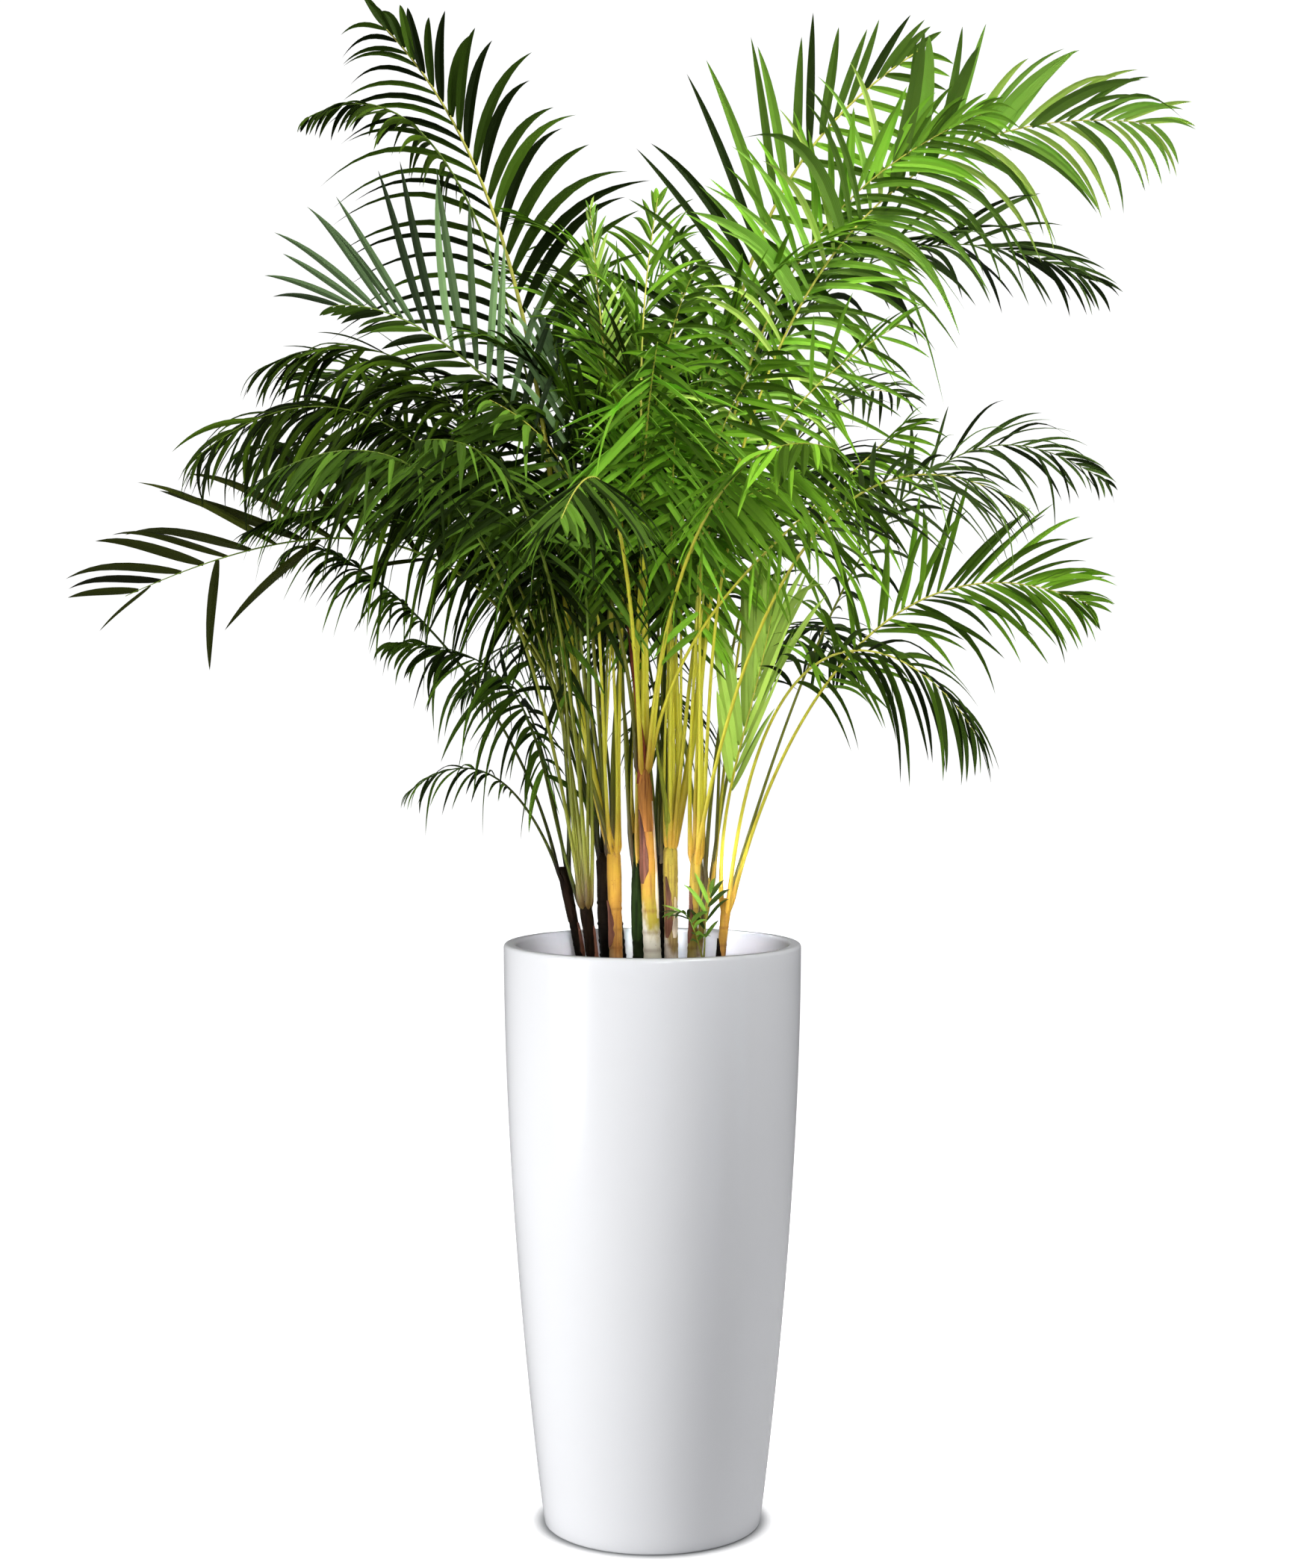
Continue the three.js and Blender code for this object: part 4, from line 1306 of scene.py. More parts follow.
# Younger inner fronds, each in the space of the solid whose name it bears
YOUNG_FRONDS: list[Frond] = [
    Frond("frond_01", 4, 60, 158, 150, 1700, 3, 30, Tone.FRESH, Stalk.GREEN, leaf=180, pairs=30, **INNER),
    Frond("frond_01", 4, 150, 196, 190, 1600, 4, 20, Tone.DARK, Stalk.GREEN, leaf=190, pairs=30, wild=0.6,
          spread=0.75),
    Frond("frond_01", 4, 90, 182, 120, 1760, 3, 30, Tone.MID, Stalk.GREEN, leaf=180, pairs=28, **INNER),
    Frond("frond_03", 2, 130, 170, 340, 1520, 6, -20, Tone.OLIVE, Stalk.GREEN, leaf=185, pairs=36,
          wild=0.8, wide=9, droop=(0.7, 0.7)),
    Frond("frond_04", 3, 170, 186, 420, 1430, 10, -25, Tone.DARK, Stalk.DARK, leaf=185, pairs=44,
          wild=0.8, wide=9, droop=(0.6, 0.6)),
    Frond("frond_01", 4, 120, 181, 409, 1885, 8, -30, Tone.OLIVE, Stalk.GREEN, rise=0.6, fall=0.25,
          bare=0.74, leaf=80, pairs=22, wide=9, sag=0.4, droop=(0.5, 0.5)),
    Frond("frond_02", 4, -170, 180, 80, 1600, 4, 80, Tone.BLUE, Stalk.GREEN, bare=0.66, roll=-60,
          leaf=190, pairs=9, wide=12, spread=0.5, sag=0.05, wild=0.2),
    Frond("frond_04", 3, 185, 178, 470, 1500, 12, -20, Tone.DARK, Stalk.DARK, leaf=180, pairs=40,
          wild=0.8, wide=9, droop=(0.4, 0.6)),
    Frond("frond_05", 4, -140, 186, 480, 1340, 12, -25, Tone.DARK, Stalk.GREEN, leaf=130, pairs=38,
          wide=10, wild=0.8, bare=0.45, spread=0.55),
    Frond("frond_01", 4, 20, 120, 60, 1600, 2, 60, Tone.MID, Stalk.GOLD, leaf=110, **TWIG),
    Frond("frond_03", 2, 0, 40, 60, 1500, 3, 60, Tone.OLIVE, Stalk.GREEN, leaf=110, **TWIG),
    Frond("frond_03", 2, 80, 150, 150, 1450, 5, 40, Tone.DARK, Stalk.GREEN, leaf=130, pairs=14, bare=0.55,
          spread=0.55),
    Frond("frond_18", 11, -20, 10, 70, 1560, 3, 60, Tone.MID, Stalk.GOLD, leaf=110, **TWIG),
    Frond("frond_18", 11, 120, 160, 60, 1520, 3, 60, Tone.MID, Stalk.GOLD, leaf=110, **TWIG),
    Frond("frond_09", 6, -10, 0, 90, 1600, 3, 60, Tone.FRESH, Stalk.GOLD, leaf=120, **TWIG),
    Frond("frond_14", 5, 90, 100, 60, 1500, 2, 60, Tone.MID, Stalk.GOLD, leaf=110, **TWIG),
    Frond("frond_13", 7, 150, 120, 80, 1520, 3, 50, Tone.MID, Stalk.GOLD, leaf=120, **TWIG),
    Frond("frond_19", 5, 150, 140, 120, 1650, 2, 40, Tone.MID, Stalk.GOLD, leaf=170, pairs=28, **INNER),
    Frond("frond_19", 5, 160, 150, 140, 1700, 3, 35, Tone.OLIVE, Stalk.GOLD, leaf=175, pairs=28, **INNER),
    Frond("frond_19", 5, 60, 74, 70, 1790, 2, 60, Tone.MID, Stalk.GOLD, leaf=150, pairs=18, **INNER),
    Frond("frond_40", 11, 20, -28, 70, 1740, 2, 55, Tone.FRESH, Stalk.GOLD, leaf=150, pairs=18, wild=0.4,
          spread=0.75),
    Frond("frond_09", 6, 30, 25, 150, 1700, 3, 40, Tone.MID, Stalk.GOLD, leaf=150, pairs=22, **INNER),
    Frond("frond_18", 11, 200, 205, 230, 1540, 5, 15, Tone.DARK, Stalk.GREEN, leaf=180, pairs=30,
          wild=0.6, droop=(0.8, 0.8)),
    Frond("frond_40", 7, -70, -62, 190, 1560, 4, 25, Tone.MID, Stalk.GOLD, leaf=150, pairs=20, wide=11,
          sag=0.12, droop=(1.3, 1.3), **NEAR),
    Frond("frond_27", 9, 110, 122, 220, 1640, 4, 25, Tone.DARK, Stalk.GREEN, leaf=190, pairs=30, wild=0.6,
          spread=0.75),
    Frond("frond_04", 3, 190, 196, 240, 1560, 5, 15, Tone.DEEP, Stalk.DARK, leaf=180, pairs=30, wild=0.7,
          spread=0.75),
    Frond("frond_38", 2, -150, -158, 230, 1420, 6, 10, Tone.DARK, Stalk.GREEN, leaf=160, pairs=28,
          wide=12, sag=0.15, curl=0, wild=0.4, droop=(1.2, 1.2)),
    Frond("frond_14", 6, -90, -88, 200, 1480, 5, 20, Tone.MID, Stalk.GOLD, leaf=180, pairs=26, wide=10,
          bare=0.45, sag=0.1, droop=(1.5, 1.5), **NEAR),
    Frond("frond_36", 4, -130, -132, 230, 1500, 6, 15, Tone.LEAF, Stalk.GOLD, leaf=180, pairs=26, wide=12,
          bare=0.45, sag=0.1, curl=0, wild=0.4, droop=(1.4, 1.4)),
    Frond("frond_32", 11, 60, 100, 90, 1330, 3, 30, Tone.OLIVE, Stalk.DARK, leaf=130, **SPARSE),
    Frond("frond_31", 9, 60, 60, 120, 1330, 4, 20, Tone.OLIVE, Stalk.DARK, leaf=130, **SPARSE),
    Frond("frond_24", 3, 100, 170, 110, 1300, 4, 10, Tone.DARK, Stalk.DARK, leaf=120, **SPARSE),
    Frond("frond_35", 5, -30, -20, 210, 1400, 7, 5, Tone.MID, Stalk.GOLD, leaf=130, pairs=20, wide=8,
          bare=0.45, sag=0.1, droop=(1.3, 1.3), **NEAR),
    Frond("frond_16", 7, 40, 20, 130, 1420, 4, 30, Tone.MID, Stalk.GOLD, **SLENDER),
    Frond("frond_09", 6, 100, 80, 90, 1500, 3, 40, Tone.MID, Stalk.GOLD, **SLENDER),
    Frond("frond_14", 6, -140, -150, 110, 1450, 3, 40, Tone.MID, Stalk.GOLD, **SLENDER),
    Frond("frond_01", 4, -60, -60, 100, 1480, 3, 40, Tone.FRESH, Stalk.GOLD, **SLENDER),
    Frond("frond_36", 4, 180, 185, 120, 1420, 4, 30, Tone.OLIVE, Stalk.GOLD, **SLENDER),
    Frond("frond_38", 2, 60, 100, 80, 1350, 3, 30, Tone.OLIVE, Stalk.GREEN, **SLENDER),
    Frond("frond_37", 7, -30, -60, 90, 1400, 3, 40, Tone.FRESH, Stalk.GOLD, **SLENDER),
    Frond("frond_40", 11, -60, -50, 80, 1500, 3, 40, Tone.MID, Stalk.GOLD, **SLENDER),
    Frond("frond_21", 12, 200, 206, 48, 836, 18, -20, Tone.LEAF, Stalk.GREEN, bare=0.25, leaf=48, sag=0.3,
          pairs=9, wide=6, slim=0.5),
    Frond("frond_03", 2, 60, 176, 430, 1560, 6, -25, Tone.OLIVE, Stalk.GREEN, leaf=185, pairs=38, wide=9,
          wild=0.8, bare=0.5, droop=(0.6, 0.6)),
    Frond("frond_03", 2, 110, 165, 300, 1480, 6, -10, Tone.DARK, Stalk.GREEN, leaf=180, pairs=34, wide=10,
          wild=0.8, bare=0.5, droop=(0.5, 0.5)),
    Frond("frond_11", 6, -20, -20, 250, 1740, 4, 25, Tone.MID, Stalk.GOLD, leaf=170, pairs=26, wide=9,
          bare=0.5, **INNER),
    Frond("frond_19", 6, 60, 75, 100, 1720, 3, 50, Tone.LEAF, Stalk.GOLD, leaf=160, pairs=24, wild=0.6,
          bare=0.5, spread=0.75),
    Frond("frond_11", 10, 0, 10, 320, 1760, 4, 10, Tone.LEAF, Stalk.GREEN, leaf=180, pairs=28, wide=9,
          bare=0.5, **INNER),
    Frond("frond_24", 3, -20, 20, 60, 1380, 3, 40, Tone.DARK, Stalk.DARK, **DUSKY),
    Frond("frond_24", 3, 200, 200, 90, 1360, 3, 40, Tone.DARK, Stalk.DARK, **DUSKY),
    Frond("frond_31", 9, 200, 195, 60, 1420, 3, 40, Tone.DARK, Stalk.DARK, **DUSKY),
    Frond("frond_31", 9, -20, 0, 50, 1400, 3, 40, Tone.DARK, Stalk.DARK, **DUSKY),
    Frond("frond_32", 11, 180, 185, 80, 1400, 3, 40, Tone.DARK, Stalk.DARK, **DUSKY),
    Frond("frond_34", 1, 20, 60, 60, 1300, 4, 40, Tone.OLIVE, Stalk.DARK, leaf=110, pairs=14, bare=0.6,
          spread=0.55),
]

EVERY_FROND = FRONDS + YOUNG_FRONDS


@dataclass
class Blade:
    """The one leaflet that all others are copies of, as shares of its width and its length."""

    stations: tuple[float, ...] = (0, 0.05, 0.12, 0.22, 0.34, 0.46, 0.58, 0.7, 0.8, 0.89, 0.96)
    outline_at: tuple[float, ...] = (0, 0.08, 0.2, 0.35, 0.5, 0.65, 0.8, 0.92, 1)
    outline: tuple[float, ...] = (0.4, 0.72, 0.94, 1, 0.96, 0.82, 0.58, 0.3, 0.02)
    fold: float = 0.42
    thick: float = 0.016

    def build(self) -> bpy.types.Object:
        """Make the closed blade: two folded halves, an underside, a blunt root and a fine tip."""
        points, across, faces = [], [], []
        for v in self.stations:
            half = 0.5 * float(np.interp(v, self.outline_at, self.outline))
            edge = -self.fold * half
            points += [(-half, v, edge), (0, v, self.thick), (half, v, edge), (0, v, -self.thick)]
            across += [0.5 - half, 0.5, 0.5 + half, 0.5]
        count = len(self.stations)
        tip = len(points)
        points.append((0, 1, 0))
        across.append(0.5)
        for i in range(count - 1):
            a = 4 * i
            faces += [(a + k, a + 4 + k, a + 4 + (k + 1) % 4, a + (k + 1) % 4) for k in range(4)]
        a = 4 * (count - 1)
        faces += [(a + k, tip, a + (k + 1) % 4) for k in range(4)]
        faces.append((0, 1, 2, 3))
        mesh = bpy.data.meshes.new("blade")
        mesh.from_pydata(points, [], faces, shade_flat=False)
        face_outward(mesh)
        along = [p[1] for p in points]
        store(mesh, "along", "FLOAT", along)
        sharp = mesh.attributes.new("sharp_edge", "BOOLEAN", "EDGE")
        same = [abs(along[a] - along[b]) > 1e-6 for a, b in (edge.vertices for edge in mesh.edges)]
        sharp.data.foreach_set("value", same)
        chart = mesh.uv_layers.new(name="UVMap")
        for loop in mesh.loops:
            chart.data[loop.index].uv = (across[loop.vertex_index], along[loop.vertex_index])
        return stand("blade", mesh)


@dataclass
class Leaflets:
    """The leaflets of one tone, one value of each kind for every leaflet.

    Attributes:
        roots: Where it leaves its rib.
        turns: How it is turned.
        sizes: Its width, length and thickness.
        bends: How far its bend carries its tip.
        hangs: How far its outer half hangs down.
        shades: Which of the tone's three shades it has: painted shade, the plain tone, painted light.
        nodes: The solids of their fronds.
    """

    roots: list = field(default_factory=list)
    turns: list = field(default_factory=list)
    sizes: list = field(default_factory=list)
    bends: list = field(default_factory=list)
    hangs: list = field(default_factory=list)
    shades: list = field(default_factory=list)
    nodes: list = field(default_factory=list)

    def mesh(self, name: str) -> bpy.types.Mesh:
        """Return the roots as a mesh of loose points that stores the rest."""
        mesh = bpy.data.meshes.new(name)
        mesh.from_pydata(self.roots, [], [])
        store(mesh, "turn", "QUATERNION", self.turns)
        store(mesh, "size", "FLOAT_VECTOR", self.sizes)
        store(mesh, "bend", "FLOAT_VECTOR", self.bends)
        store(mesh, "hang", "FLOAT_VECTOR", self.hangs)
        store(mesh, "shade", "INT", self.shades)
        return mesh


@dataclass(frozen=True)
class Root:
    """Where one leaflet leaves its rib.

    Attributes:
        u: Its place along the blade, from 0 to 1.
        hand: -1 on the left and 1 on the right.
        along: The way that the rib runs there.
        side: The way to the blade's right.
        face: The way out of the blade's face.
    """

    u: float
    hand: int
    along: np.ndarray
    side: np.ndarray
    face: np.ndarray


@dataclass
class Crown:
    """All the fronds: petioles and ribs joined by their colouring, leaflets joined by their tone.

    Attributes:
        longest_at: Where on the blade the longest leaflets are.
        foot_share: The length of the first leaflet, as a share of the longest.
        foot_turn: The degrees between the first leaflet and the rib.
        crowding: How much closer the leaflets stand toward the tip.
        stagger: How far a right-hand leaflet stands ahead of its pair's middle, as a share of a step.
        jitter: How far the wildest leaflet strays from its place, as a share of a step.
        unsplit: The width of two leaflets in one, as a share of one.
        kinked: The hang of a leaflet that is bent over, as a share of its length.
        kept_way: How much of its own way a limp leaflet keeps.
        shade_odds: The odds of painted shade, the plain tone and painted light.
        first_seed: The seed of the first frond.
        rib_sides: Points round a stalk.
        rib_steps: Points along it.
        channel: How far its upper face is flattened.
        clasps: Where a stalk's foot clasps the cane, as shares of the cane's hug.
    """

    longest_at: float = 0.36
    foot_share: float = 0.55
    foot_turn: float = 62.0
    crowding: float = 0.2
    stagger: float = 0.22
    jitter: float = 0.3
    unsplit: float = 2.1
    kinked: float = 0.55
    kept_way: float = 0.25
    shade_odds: tuple[float, float, float] = (0.3, 0.45, 0.25)
    first_seed: int = 11
    rib_sides: int = 8
    rib_steps: int = 64
    channel: float = 0.45
    clasps: tuple[float, float, float] = (1.0, 0.6, 0.25)

    def leaf_share(self, u: float, tip: float) -> float:
        """Return a leaflet's length at a place on the blade, as a share of the longest."""
        if u < self.longest_at:
            return self.foot_share + (1 - self.foot_share) * u / self.longest_at
        rest = (u - self.longest_at) / (1 - self.longest_at)
        return tip + (1 - tip) * (1 - rest**1.6)

    def leaf_turn(self, u: float, tip: float) -> float:
        """Return the degrees between a leaflet and the rib at a place on the blade."""
        return self.foot_turn - (self.foot_turn - tip) * u**1.3

    def aim(self, frond: Frond, root: Root, deal: random.Random) -> np.ndarray:
        """Return the way that one leaflet points."""
        turn = math.radians(
            self.leaf_turn(root.u, frond.tip_turn) * frond.spread
            + deal.uniform(-1, 1) * (4 + 14 * frond.wild) + root.hand * frond.skew
        )
        keel = math.radians(frond.keel + deal.uniform(-1, 1) * (7 + 22 * frond.wild))
        out = root.side * math.cos(keel) * root.hand + root.face * math.sin(keel)
        way = root.along * math.cos(turn) + math.sin(turn) * out
        if any(frond.droop):
            weight = frond.droop[root.hand > 0] * (1 - 0.7 * root.u) * deal.uniform(0.7, 1.2)
            way = unit(way + weight * DOWN)
        if frond.limp and root.hand > 0 and deal.random() < frond.limp:
            way = unit(self.kept_way * way + DOWN)
        return way

    def size(self, frond: Frond, root: Root, deal: random.Random) -> tuple[float, float]:
        """Return one leaflet's length and width."""
        length = frond.leaf * self.leaf_share(root.u, frond.tip_share) * (1 + root.hand * frond.lop)
        length *= deal.uniform(0.93 - 0.14 * frond.wild, 1.06)
        width = frond.wide * (0.75 + 0.25 * math.sin(math.pi * root.u)) * deal.uniform(0.86, 1.1)
        if root.hand < 0:
            width *= frond.left_wide
        if deal.random() < frond.broad:
            width *= self.unsplit
        return length, width

    def turned(self, frond: Frond, root: Root, way: np.ndarray, deal: random.Random) -> tuple[float, ...]:
        """Return one leaflet's turn: its face with the blade's face, and a twist of its own."""
        across = unit(root.along - way * (root.along @ way))
        normal = np.cross(across, way)
        if normal @ root.face < 0:
            across, normal = -across, -normal
        twist = math.radians(deal.uniform(-1, 1) * (12 + 28 * frond.wild))
        across, normal = (
            across * math.cos(twist) + normal * math.sin(twist),
            normal * math.cos(twist) - across * math.sin(twist),
        )
        return tuple(Matrix((across, way, normal)).transposed().to_quaternion())

    def bent(
        self, frond: Frond, root: Root, way: np.ndarray, length: float, deal: random.Random
    ) -> tuple[tuple[float, ...], tuple[float, ...]]:
        """Return how far one leaflet bends and how far its outer half hangs, in metres."""
        wild = frond.wild
        fall = DOWN - 0.75 * way * (way @ DOWN)
        sag = frond.sag * deal.uniform(0.85 - 0.3 * wild, 1.15 + 0.5 * wild)
        back = deal.uniform(-0.06, 0.08) - frond.curl
        sweep = root.along * back + root.side * deal.uniform(-0.05, 0.05)
        kinks = deal.random() < 0.02 + 0.06 * wild
        hang = self.kinked if kinks else deal.uniform(0.0, 0.12 + 0.14 * wild)
        return tuple(length * (sweep + sag * fall) * MM), tuple(length * hang * fall * MM)

    def grow(self, frond: Frond, seed: int, kinds: dict[Tone, Leaflets]) -> None:
        """Place the leaflets of one frond.

        Args:
            frond: The frond.
            seed: The seed of its unevenness.
            kinds: The leaflets of each tone, which are added to.
        """
        deal = random.Random(seed)
        points = frond.line()
        axes = frond.axes(points)
        last = len(points) - 1
        for i in range(frond.pairs):
            for hand in (-1, 1):
                if any(frond.gaps) and deal.random() < frond.gaps[hand > 0]:
                    continue
                stray = frond.wild * deal.uniform(-self.jitter, self.jitter)
                u = (i + 0.5 + self.stagger * hand + stray) / frond.pairs
                s = frond.bare + (1 - frond.bare) * u * (1 + self.crowding * (1 - u))
                at = min(int(s * last), last - 1)
                w = min(1.0, s * last - at)
                centre = points[at] * (1 - w) + points[at + 1] * w
                root = Root(u, hand, *(rows[at] for rows in axes))
                way = self.aim(frond, root, deal)
                length, width = self.size(frond, root, deal)
                kind = kinds[frond.left_tone if frond.left_tone and hand < 0 else frond.tone]
                kind.roots.append(tuple((centre + root.side * hand * 0.5 * frond.girth(s)) * MM))
                kind.turns.append(self.turned(frond, root, way, deal))
                kind.sizes.append((width * MM, length * MM, width * MM))
                bend, hang = self.bent(frond, root, way, length, deal)
                kind.bends.append(bend)
                kind.hangs.append(hang)
                # Deal out painted shade, the plain tone and painted light at random.
                kind.shades.append(deal.choices((0, 1, 2), self.shade_odds)[0])
                if frond.node not in kind.nodes:
                    kind.nodes.append(frond.node)

    def leaf_grower(self) -> Grower:
        """Write the tree that sets a bent blade on every root."""
        grower = Grower(
            "leaf_spray",
            {
                "Blade": "Object", "Droop": "Float", "Dark skin": "Material", "Even skin": "Material",
                "Light skin": "Material",
            },
        )
        sheet = grower.sheet
        blade = sheet.add("GeometryNodeObjectInfo", {}, {"Object": grower.given("Blade")}, "Geometry")
        sprays = sheet.add(
            "GeometryNodeInstanceOnPoints", {},
            {
                "Points": grower.given("Geometry"), "Instance": blade,
                "Rotation": grower.stored("turn", "QUATERNION"),
                "Scale": grower.stored("size", "FLOAT_VECTOR"),
            },
        )
        leaves = sheet.add("GeometryNodeRealizeInstances", {}, {"Geometry": sprays})
        along = grower.stored("along")
        for label, power in (("bend", 2.0), ("hang", 4.0)):
            drop = sheet.add(
                "ShaderNodeVectorMath", {"operation": "SCALE"},
                {
                    "Vector": grower.stored(label, "FLOAT_VECTOR"),
                    "Scale": along**power * grower.given("Droop"),
                },
            )
            leaves = sheet.add("GeometryNodeSetPosition", {}, {"Geometry": leaves, "Offset": drop})
        # Give each leaflet its skin by its stored shade: painted shade, the plain tone, painted light.
        for number, label in enumerate(("Dark skin", "Even skin", "Light skin")):
            mine = sheet.add(
                "FunctionNodeCompare", {"data_type": "INT", "operation": "EQUAL"},
                {"A": grower.stored("shade", "INT"), "B": number},
            )
            leaves = sheet.add(
                "GeometryNodeSetMaterial", {},
                {"Geometry": leaves, "Selection": mine, "Material": grower.given(label)},
            )
        grower.close(leaves)
        return grower

    def rib_grower(self) -> Grower:
        """Write the tree that draws a channelled, tapering stalk along every line."""
        grower = Grower("frond_stalk", {"Sides": "Int", "Flat": "Float", "Skin": "Material"})
        sheet = grower.sheet
        lines = sheet.add("GeometryNodeMeshToCurve", {}, {"Mesh": grower.given("Geometry")})
        lines = sheet.add(
            "GeometryNodeSetCurveNormal", {"mode": "FREE"},
            {"Curve": lines, "Normal": grower.stored("face", "FLOAT_VECTOR")},
        )
        ring = sheet.add(
            "GeometryNodeCurvePrimitiveCircle", {}, {"Resolution": grower.given("Sides"), "Radius": 1.0}
        )
        here = sheet.add("GeometryNodeInputPosition")
        x = sheet.add("ShaderNodeSeparateXYZ", {}, {0: here}, "X")
        y = sheet.add("ShaderNodeSeparateXYZ", {}, {0: here}, "Y")
        flat = x.at_least(0.0) * grower.given("Flat") + x.at_most(0.0)
        ring = sheet.add(
            "GeometryNodeSetPosition", {},
            {"Geometry": ring, "Position": sheet.add("ShaderNodeCombineXYZ", {}, {"X": flat, "Y": y})},
        )
        tube = sheet.add(
            "GeometryNodeCurveToMesh", {},
            {"Curve": lines, "Profile Curve": ring, "Scale": grower.stored("girth"), "Fill Caps": True},
        )
        tube = sheet.add("GeometryNodeSetShadeSmooth", {}, {"Geometry": tube, "Shade Smooth": True})
        tube = sheet.add("GeometryNodeRealizeInstances", {}, {"Geometry": tube})
        grower.close(
            sheet.add("GeometryNodeSetMaterial", {}, {"Geometry": tube, "Material": grower.given("Skin")})
        )
        return grower

    def stalk_lines(self, name: str, fronds: list[Frond]) -> bpy.types.Mesh:
        """Return the middle lines of some fronds' stalks, from where each clasps its cane to its tip.

        Args:
            name: The mesh's name.
            fronds: The fronds.

        Returns:
            A mesh of edges that stores each point's radius, place along the stalk and upper face.
        """
        points, edges, girth, place, faces = [], [], [], [], []
        for frond in fronds:
            line = frond.line(self.rib_steps)
            _, _, face = frond.axes(line)
            cane = CANES[frond.cane - 1]
            tall = cane.top[2] - SOIL_TOP
            first = len(points)
            for back in self.clasps:
                share = 1 - back * min(cane.hug, 0.6 * tall) / tall
                offset = (line[0] - np.array(cane.top)) * np.array([1.0, 1.0, 0.0])
                points.append(tuple((cane.centre(share) + offset * (1.0 - 0.5 * back)) * MM))
                girth.append(frond.slim * (4.4 - 1.8 * back) * MM)
                place.append(0.0)
                faces.append(tuple(face[0]))
            for number, point in enumerate(line):
                s = number / (len(line) - 1)
                points.append(tuple(point * MM))
                girth.append(frond.girth(s) * MM)
                place.append(s)
                faces.append(tuple(face[number]))
            edges += [(k, k + 1) for k in range(first, len(points) - 1)]
        mesh = bpy.data.meshes.new(name)
        mesh.from_pydata(points, edges, [])
        store(mesh, "girth", "FLOAT", girth)
        store(mesh, "along", "FLOAT", place)
        store(mesh, "face", "FLOAT_VECTOR", faces)
        return mesh

    def build(self) -> None:
        """Make every stalk and every leaflet."""
        ribs = self.rib_grower()
        for stalk in Stalk:
            mine = [frond for frond in EVERY_FROND if frond.stalk is stalk]
            name = f"fronds_{stalk.value.name}"
            piece = ribs.run(
                name, self.stalk_lines(name, mine),
                {"Sides": self.rib_sides, "Flat": self.channel, "Skin": stalk.value.make()},
            )
            keep(piece, sorted({frond.node for frond in mine}))
        kinds = {tone: Leaflets() for tone in Tone}
        for seed, frond in enumerate(EVERY_FROND, self.first_seed):
            self.grow(frond, seed, kinds)
        blade = Blade().build()
        sprays = self.leaf_grower()
        for tone, kind in kinds.items():
            # The painted shade, plain tone and painted light skins of this tone.
            dark, even, light = LeafSkin(tone).make()
            name = f"leaflets_{tone.name.lower()}"
            piece = sprays.run(
                name, kind.mesh(name),
                {"Blade": blade, "Droop": 1.0, "Dark skin": dark, "Even skin": even, "Light skin": light},
            )
            keep(piece, kind.nodes)
        bpy.data.objects.remove(blade)


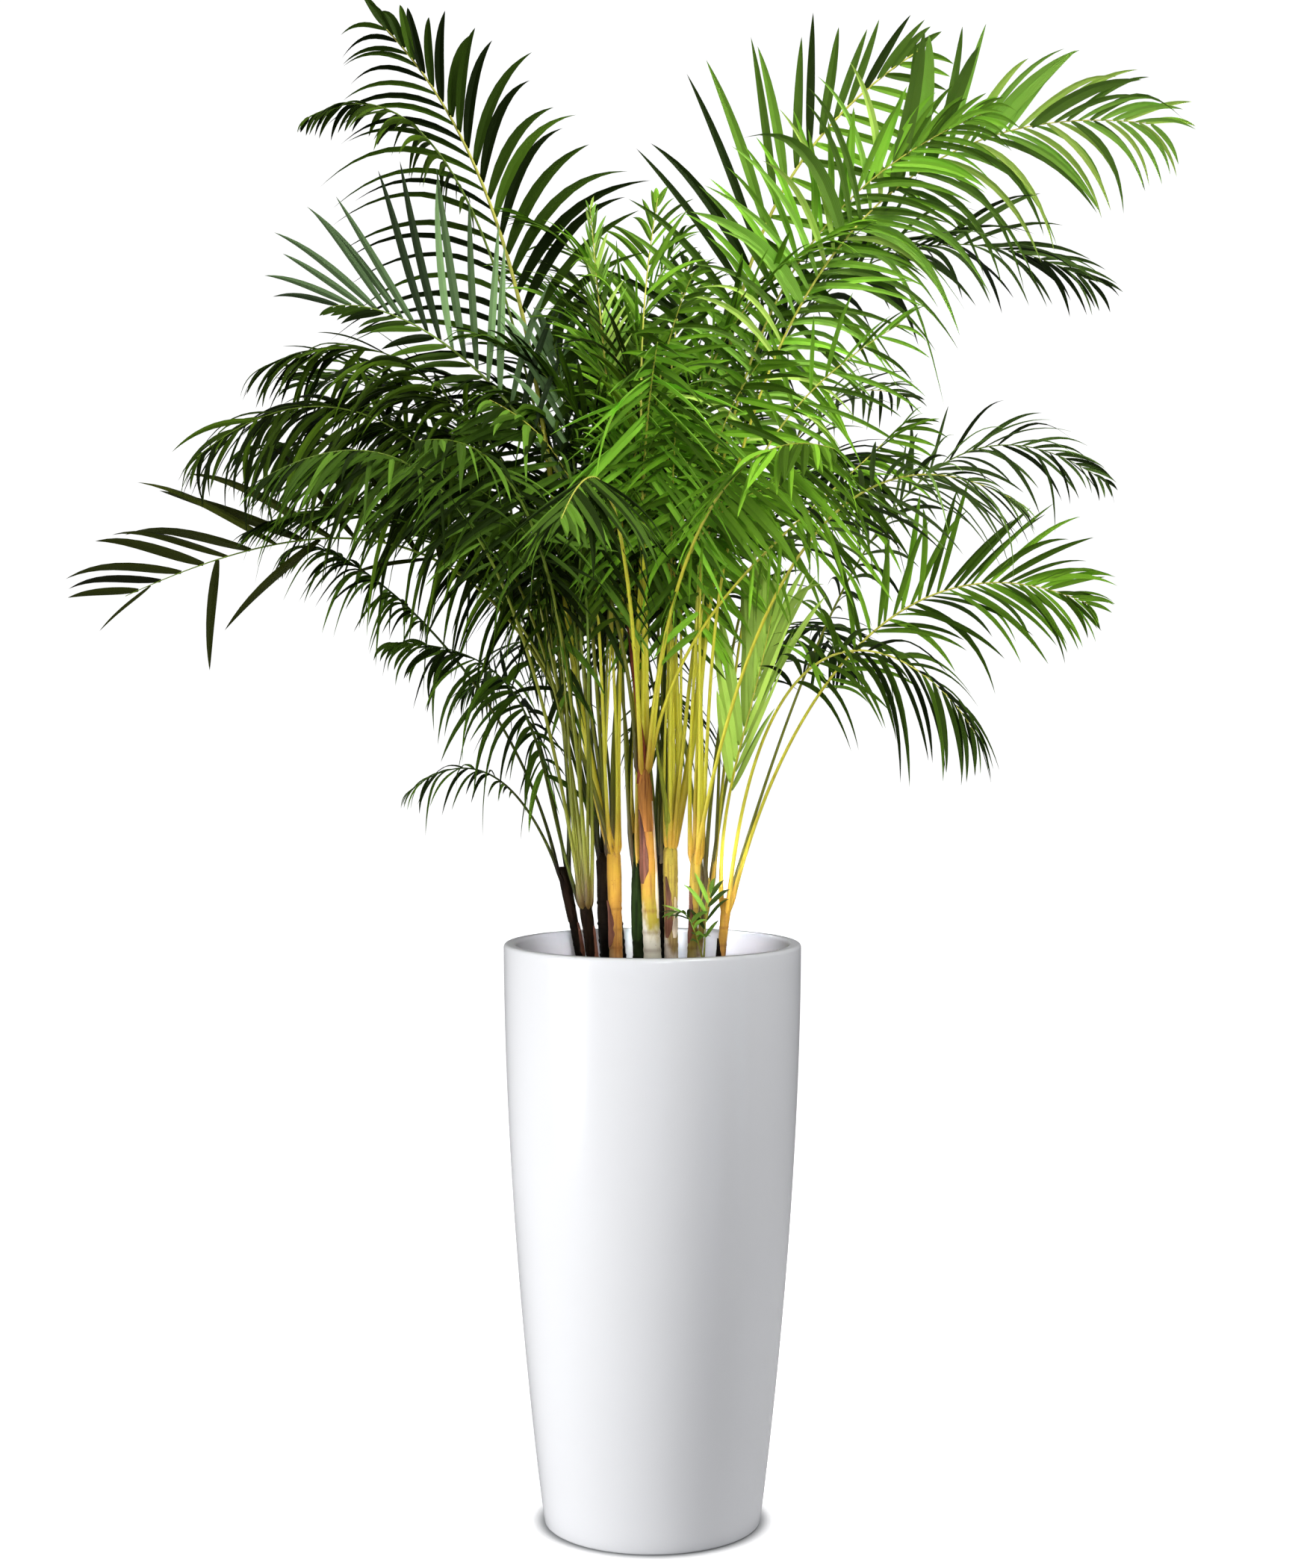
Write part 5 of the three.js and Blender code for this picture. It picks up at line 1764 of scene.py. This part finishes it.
@dataclass
class Studio:
    """A plain white studio, with the camera where the photograph was taken from, in metres and degrees.

    Attributes:
        camera_at: Where the camera stands.
        dip: How far it looks down.
        lens: Its focal length in millimetres.
        film: The height of its film in millimetres.
        floor: Half the width of the floor.
        halo: Where the floor's glow starts to rise, and where it is white.
        halo_tone: The glow close to the planter.
        foot_shade: Where the painted shadow round the planter's foot starts and ends.
        foot_tone: The floor's colour inside that painted shadow.
        floor_tone: The floor elsewhere.
        left_tone: The room's light from the left.
        right_tone: The room's light from the right.
        back_tone: The room as it is looked at.
    """

    camera_at: tuple[float, float, float] = (0.0015, -3.495, 1.17)
    dip: float = 2.72
    lens: float = 59.66
    film: float = 36.0
    floor: float = 12.0
    halo: tuple[float, float] = (0.25, 1.1)
    halo_tone: Colour = (0.74, 0.74, 0.74, 1)
    foot_shade: tuple[float, float] = (0.14, 0.172)
    foot_tone: Colour = (0.26, 0.27, 0.28, 1)
    floor_tone: Colour = (0.85, 0.85, 0.86, 1)
    left_tone: Colour = (0.3, 0.3, 0.305, 1)
    right_tone: Colour = (0.17, 0.17, 0.18, 1)
    back_tone: Colour = (1.05, 1.05, 1.05, 1)

    def camera(self) -> None:
        """Place the camera."""
        data = bpy.data.cameras.new("camera")
        data.lens = self.lens
        data.sensor_fit = "VERTICAL"
        data.sensor_height = self.film
        data.sensor_width = self.film
        data.clip_end = 100.0
        view = stand("camera", data)
        view.location = self.camera_at
        view.rotation_euler = (math.radians(90 - self.dip), 0, 0)
        bpy.context.scene.camera = view

    def lamp(
        self, name: str, at: tuple, to: tuple, size: float, power: float, spread: float = 180.0,
        flat: float = 1.0, colour: tuple = (1.0, 1.0, 1.0), mirrored: bool = True,
    ) -> None:
        """Hang one soft lamp and aim it.

        Args:
            name: The lamp's name.
            at: Its place.
            to: The place it is aimed at.
            size: Its width.
            power: Its power in watts.
            spread: The angle of its beam.
            flat: Its height as a share of its width.
            colour: The colour of its light.
            mirrored: Whether gloss shows the lamp.
        """
        data = bpy.data.lights.new(name, "AREA")
        data.shape = "RECTANGLE"
        data.size = size
        data.size_y = size * flat
        data.energy = power
        data.color = colour
        data.spread = math.radians(spread)
        lamp = stand(name, data)
        lamp.location = at
        lamp.visible_glossy = mirrored
        lamp.rotation_euler = (Vector(to) - Vector(at)).to_track_quat("-Z", "Y").to_euler()

    def ground(self) -> None:
        """Lay the floor: white to look at, with a soft painted shadow close to the planter's foot."""
        mesh = bpy.data.meshes.new("studio_floor")
        reach = self.floor
        corners = [(-reach, -reach, 0), (reach, -reach, 0), (reach, reach, 0), (-reach, reach, 0)]
        mesh.from_pydata(corners, [], [(0, 1, 2, 3)])
        skin = Skin("studio_white", Roughness=0.9, Specular_IOR_Level=0.1, Emission_Strength=1.0)
        sheet = skin.sheet
        away = sheet.add("ShaderNodeVectorMath", {"operation": "LENGTH"}, {0: sheet.place()}, "Value")
        glow = sheet.blend(away.eased(*self.halo), self.halo_tone, WHITE)
        seen = sheet.add("ShaderNodeLightPath", out="Is Camera Ray")
        glow = sheet.blend(seen, BLACK, glow)
        # Painted shadow round the planter's foot: the floor's colour darkens and its glow goes out.
        near = away.eased(*self.foot_shade)
        glow = sheet.blend(near, BLACK, glow)
        base = sheet.blend(near, self.foot_tone, self.floor_tone)
        mesh.materials.append(skin.wear(Base_Color=base, Emission_Color=glow))
        stand("studio_floor", mesh)

    def room(self) -> None:
        """Light the room: white to look at, and brighter on the left."""
        world = bpy.data.worlds.new("studio_light")
        world.use_nodes = True
        sheet = Sheet(world.node_tree)
        way = sheet.add("ShaderNodeTexCoord", out="Generated")
        x = sheet.add("ShaderNodeSeparateXYZ", {}, {0: way}, "X")
        seen = sheet.add("ShaderNodeLightPath", out="Is Camera Ray")
        light = sheet.blend((x * 0.5 + 0.5).eased(0.15, 0.9), self.left_tone, self.right_tone)
        back = next(n for n in world.node_tree.nodes if n.type == "BACKGROUND")
        sheet.feed(back.inputs["Color"], sheet.blend(seen, light, self.back_tone))
        bpy.context.scene.world = world

    def build(self) -> None:
        """Set up the whole studio."""
        self.camera()
        self.ground()
        self.room()
        self.lamp("side_light", (-2.7, -1.3, 0.45), (0, 0, 0.4), 1.2, 8.4, 55.0)
        self.lamp("edge_light", (2.6, 1.6, 0.5), (0, 0, 0.35), 0.8, 0.6, 22.0, mirrored=False)
        self.lamp("crown_light", (1.6, -1.5, 4.3), (0.1, 0, 1.9), 1.3, 12.0, 60.0)
        self.lamp("middle_light", (0.9, -3.2, 2.3), (0.08, -0.1, 1.38), 0.6, 0.5, 18.0)
        self.lamp("tip_light", (1.3, -2.6, 2.9), (0.44, -0.05, 1.9), 0.5, 0.36, 16.0)
        self.lamp("low_fill", (0.3, -3.8, 1.6), (0, 0, 0.85), 0.6, 0.9, 30.0)
        self.lamp(
            "mouth_light", (0.05, -1.6, 1.37), (0.03, 0.1, 0.83), 0.36, 0.26, 7.0, 0.12, (0.93, 0.9, 1.0)
        )
        view = bpy.context.scene.view_settings
        view.view_transform = "Standard"
        view.look = "None"


def main() -> None:
    """Load the part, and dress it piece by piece."""
    logging.basicConfig(level=logging.INFO, format="%(message)s")
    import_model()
    Studio().build()
    pot = Planter()
    pot.build()
    CompostBed(pot).build()
    CaneClump().build()
    Crown().build()


if __name__ == "__main__":
    main()
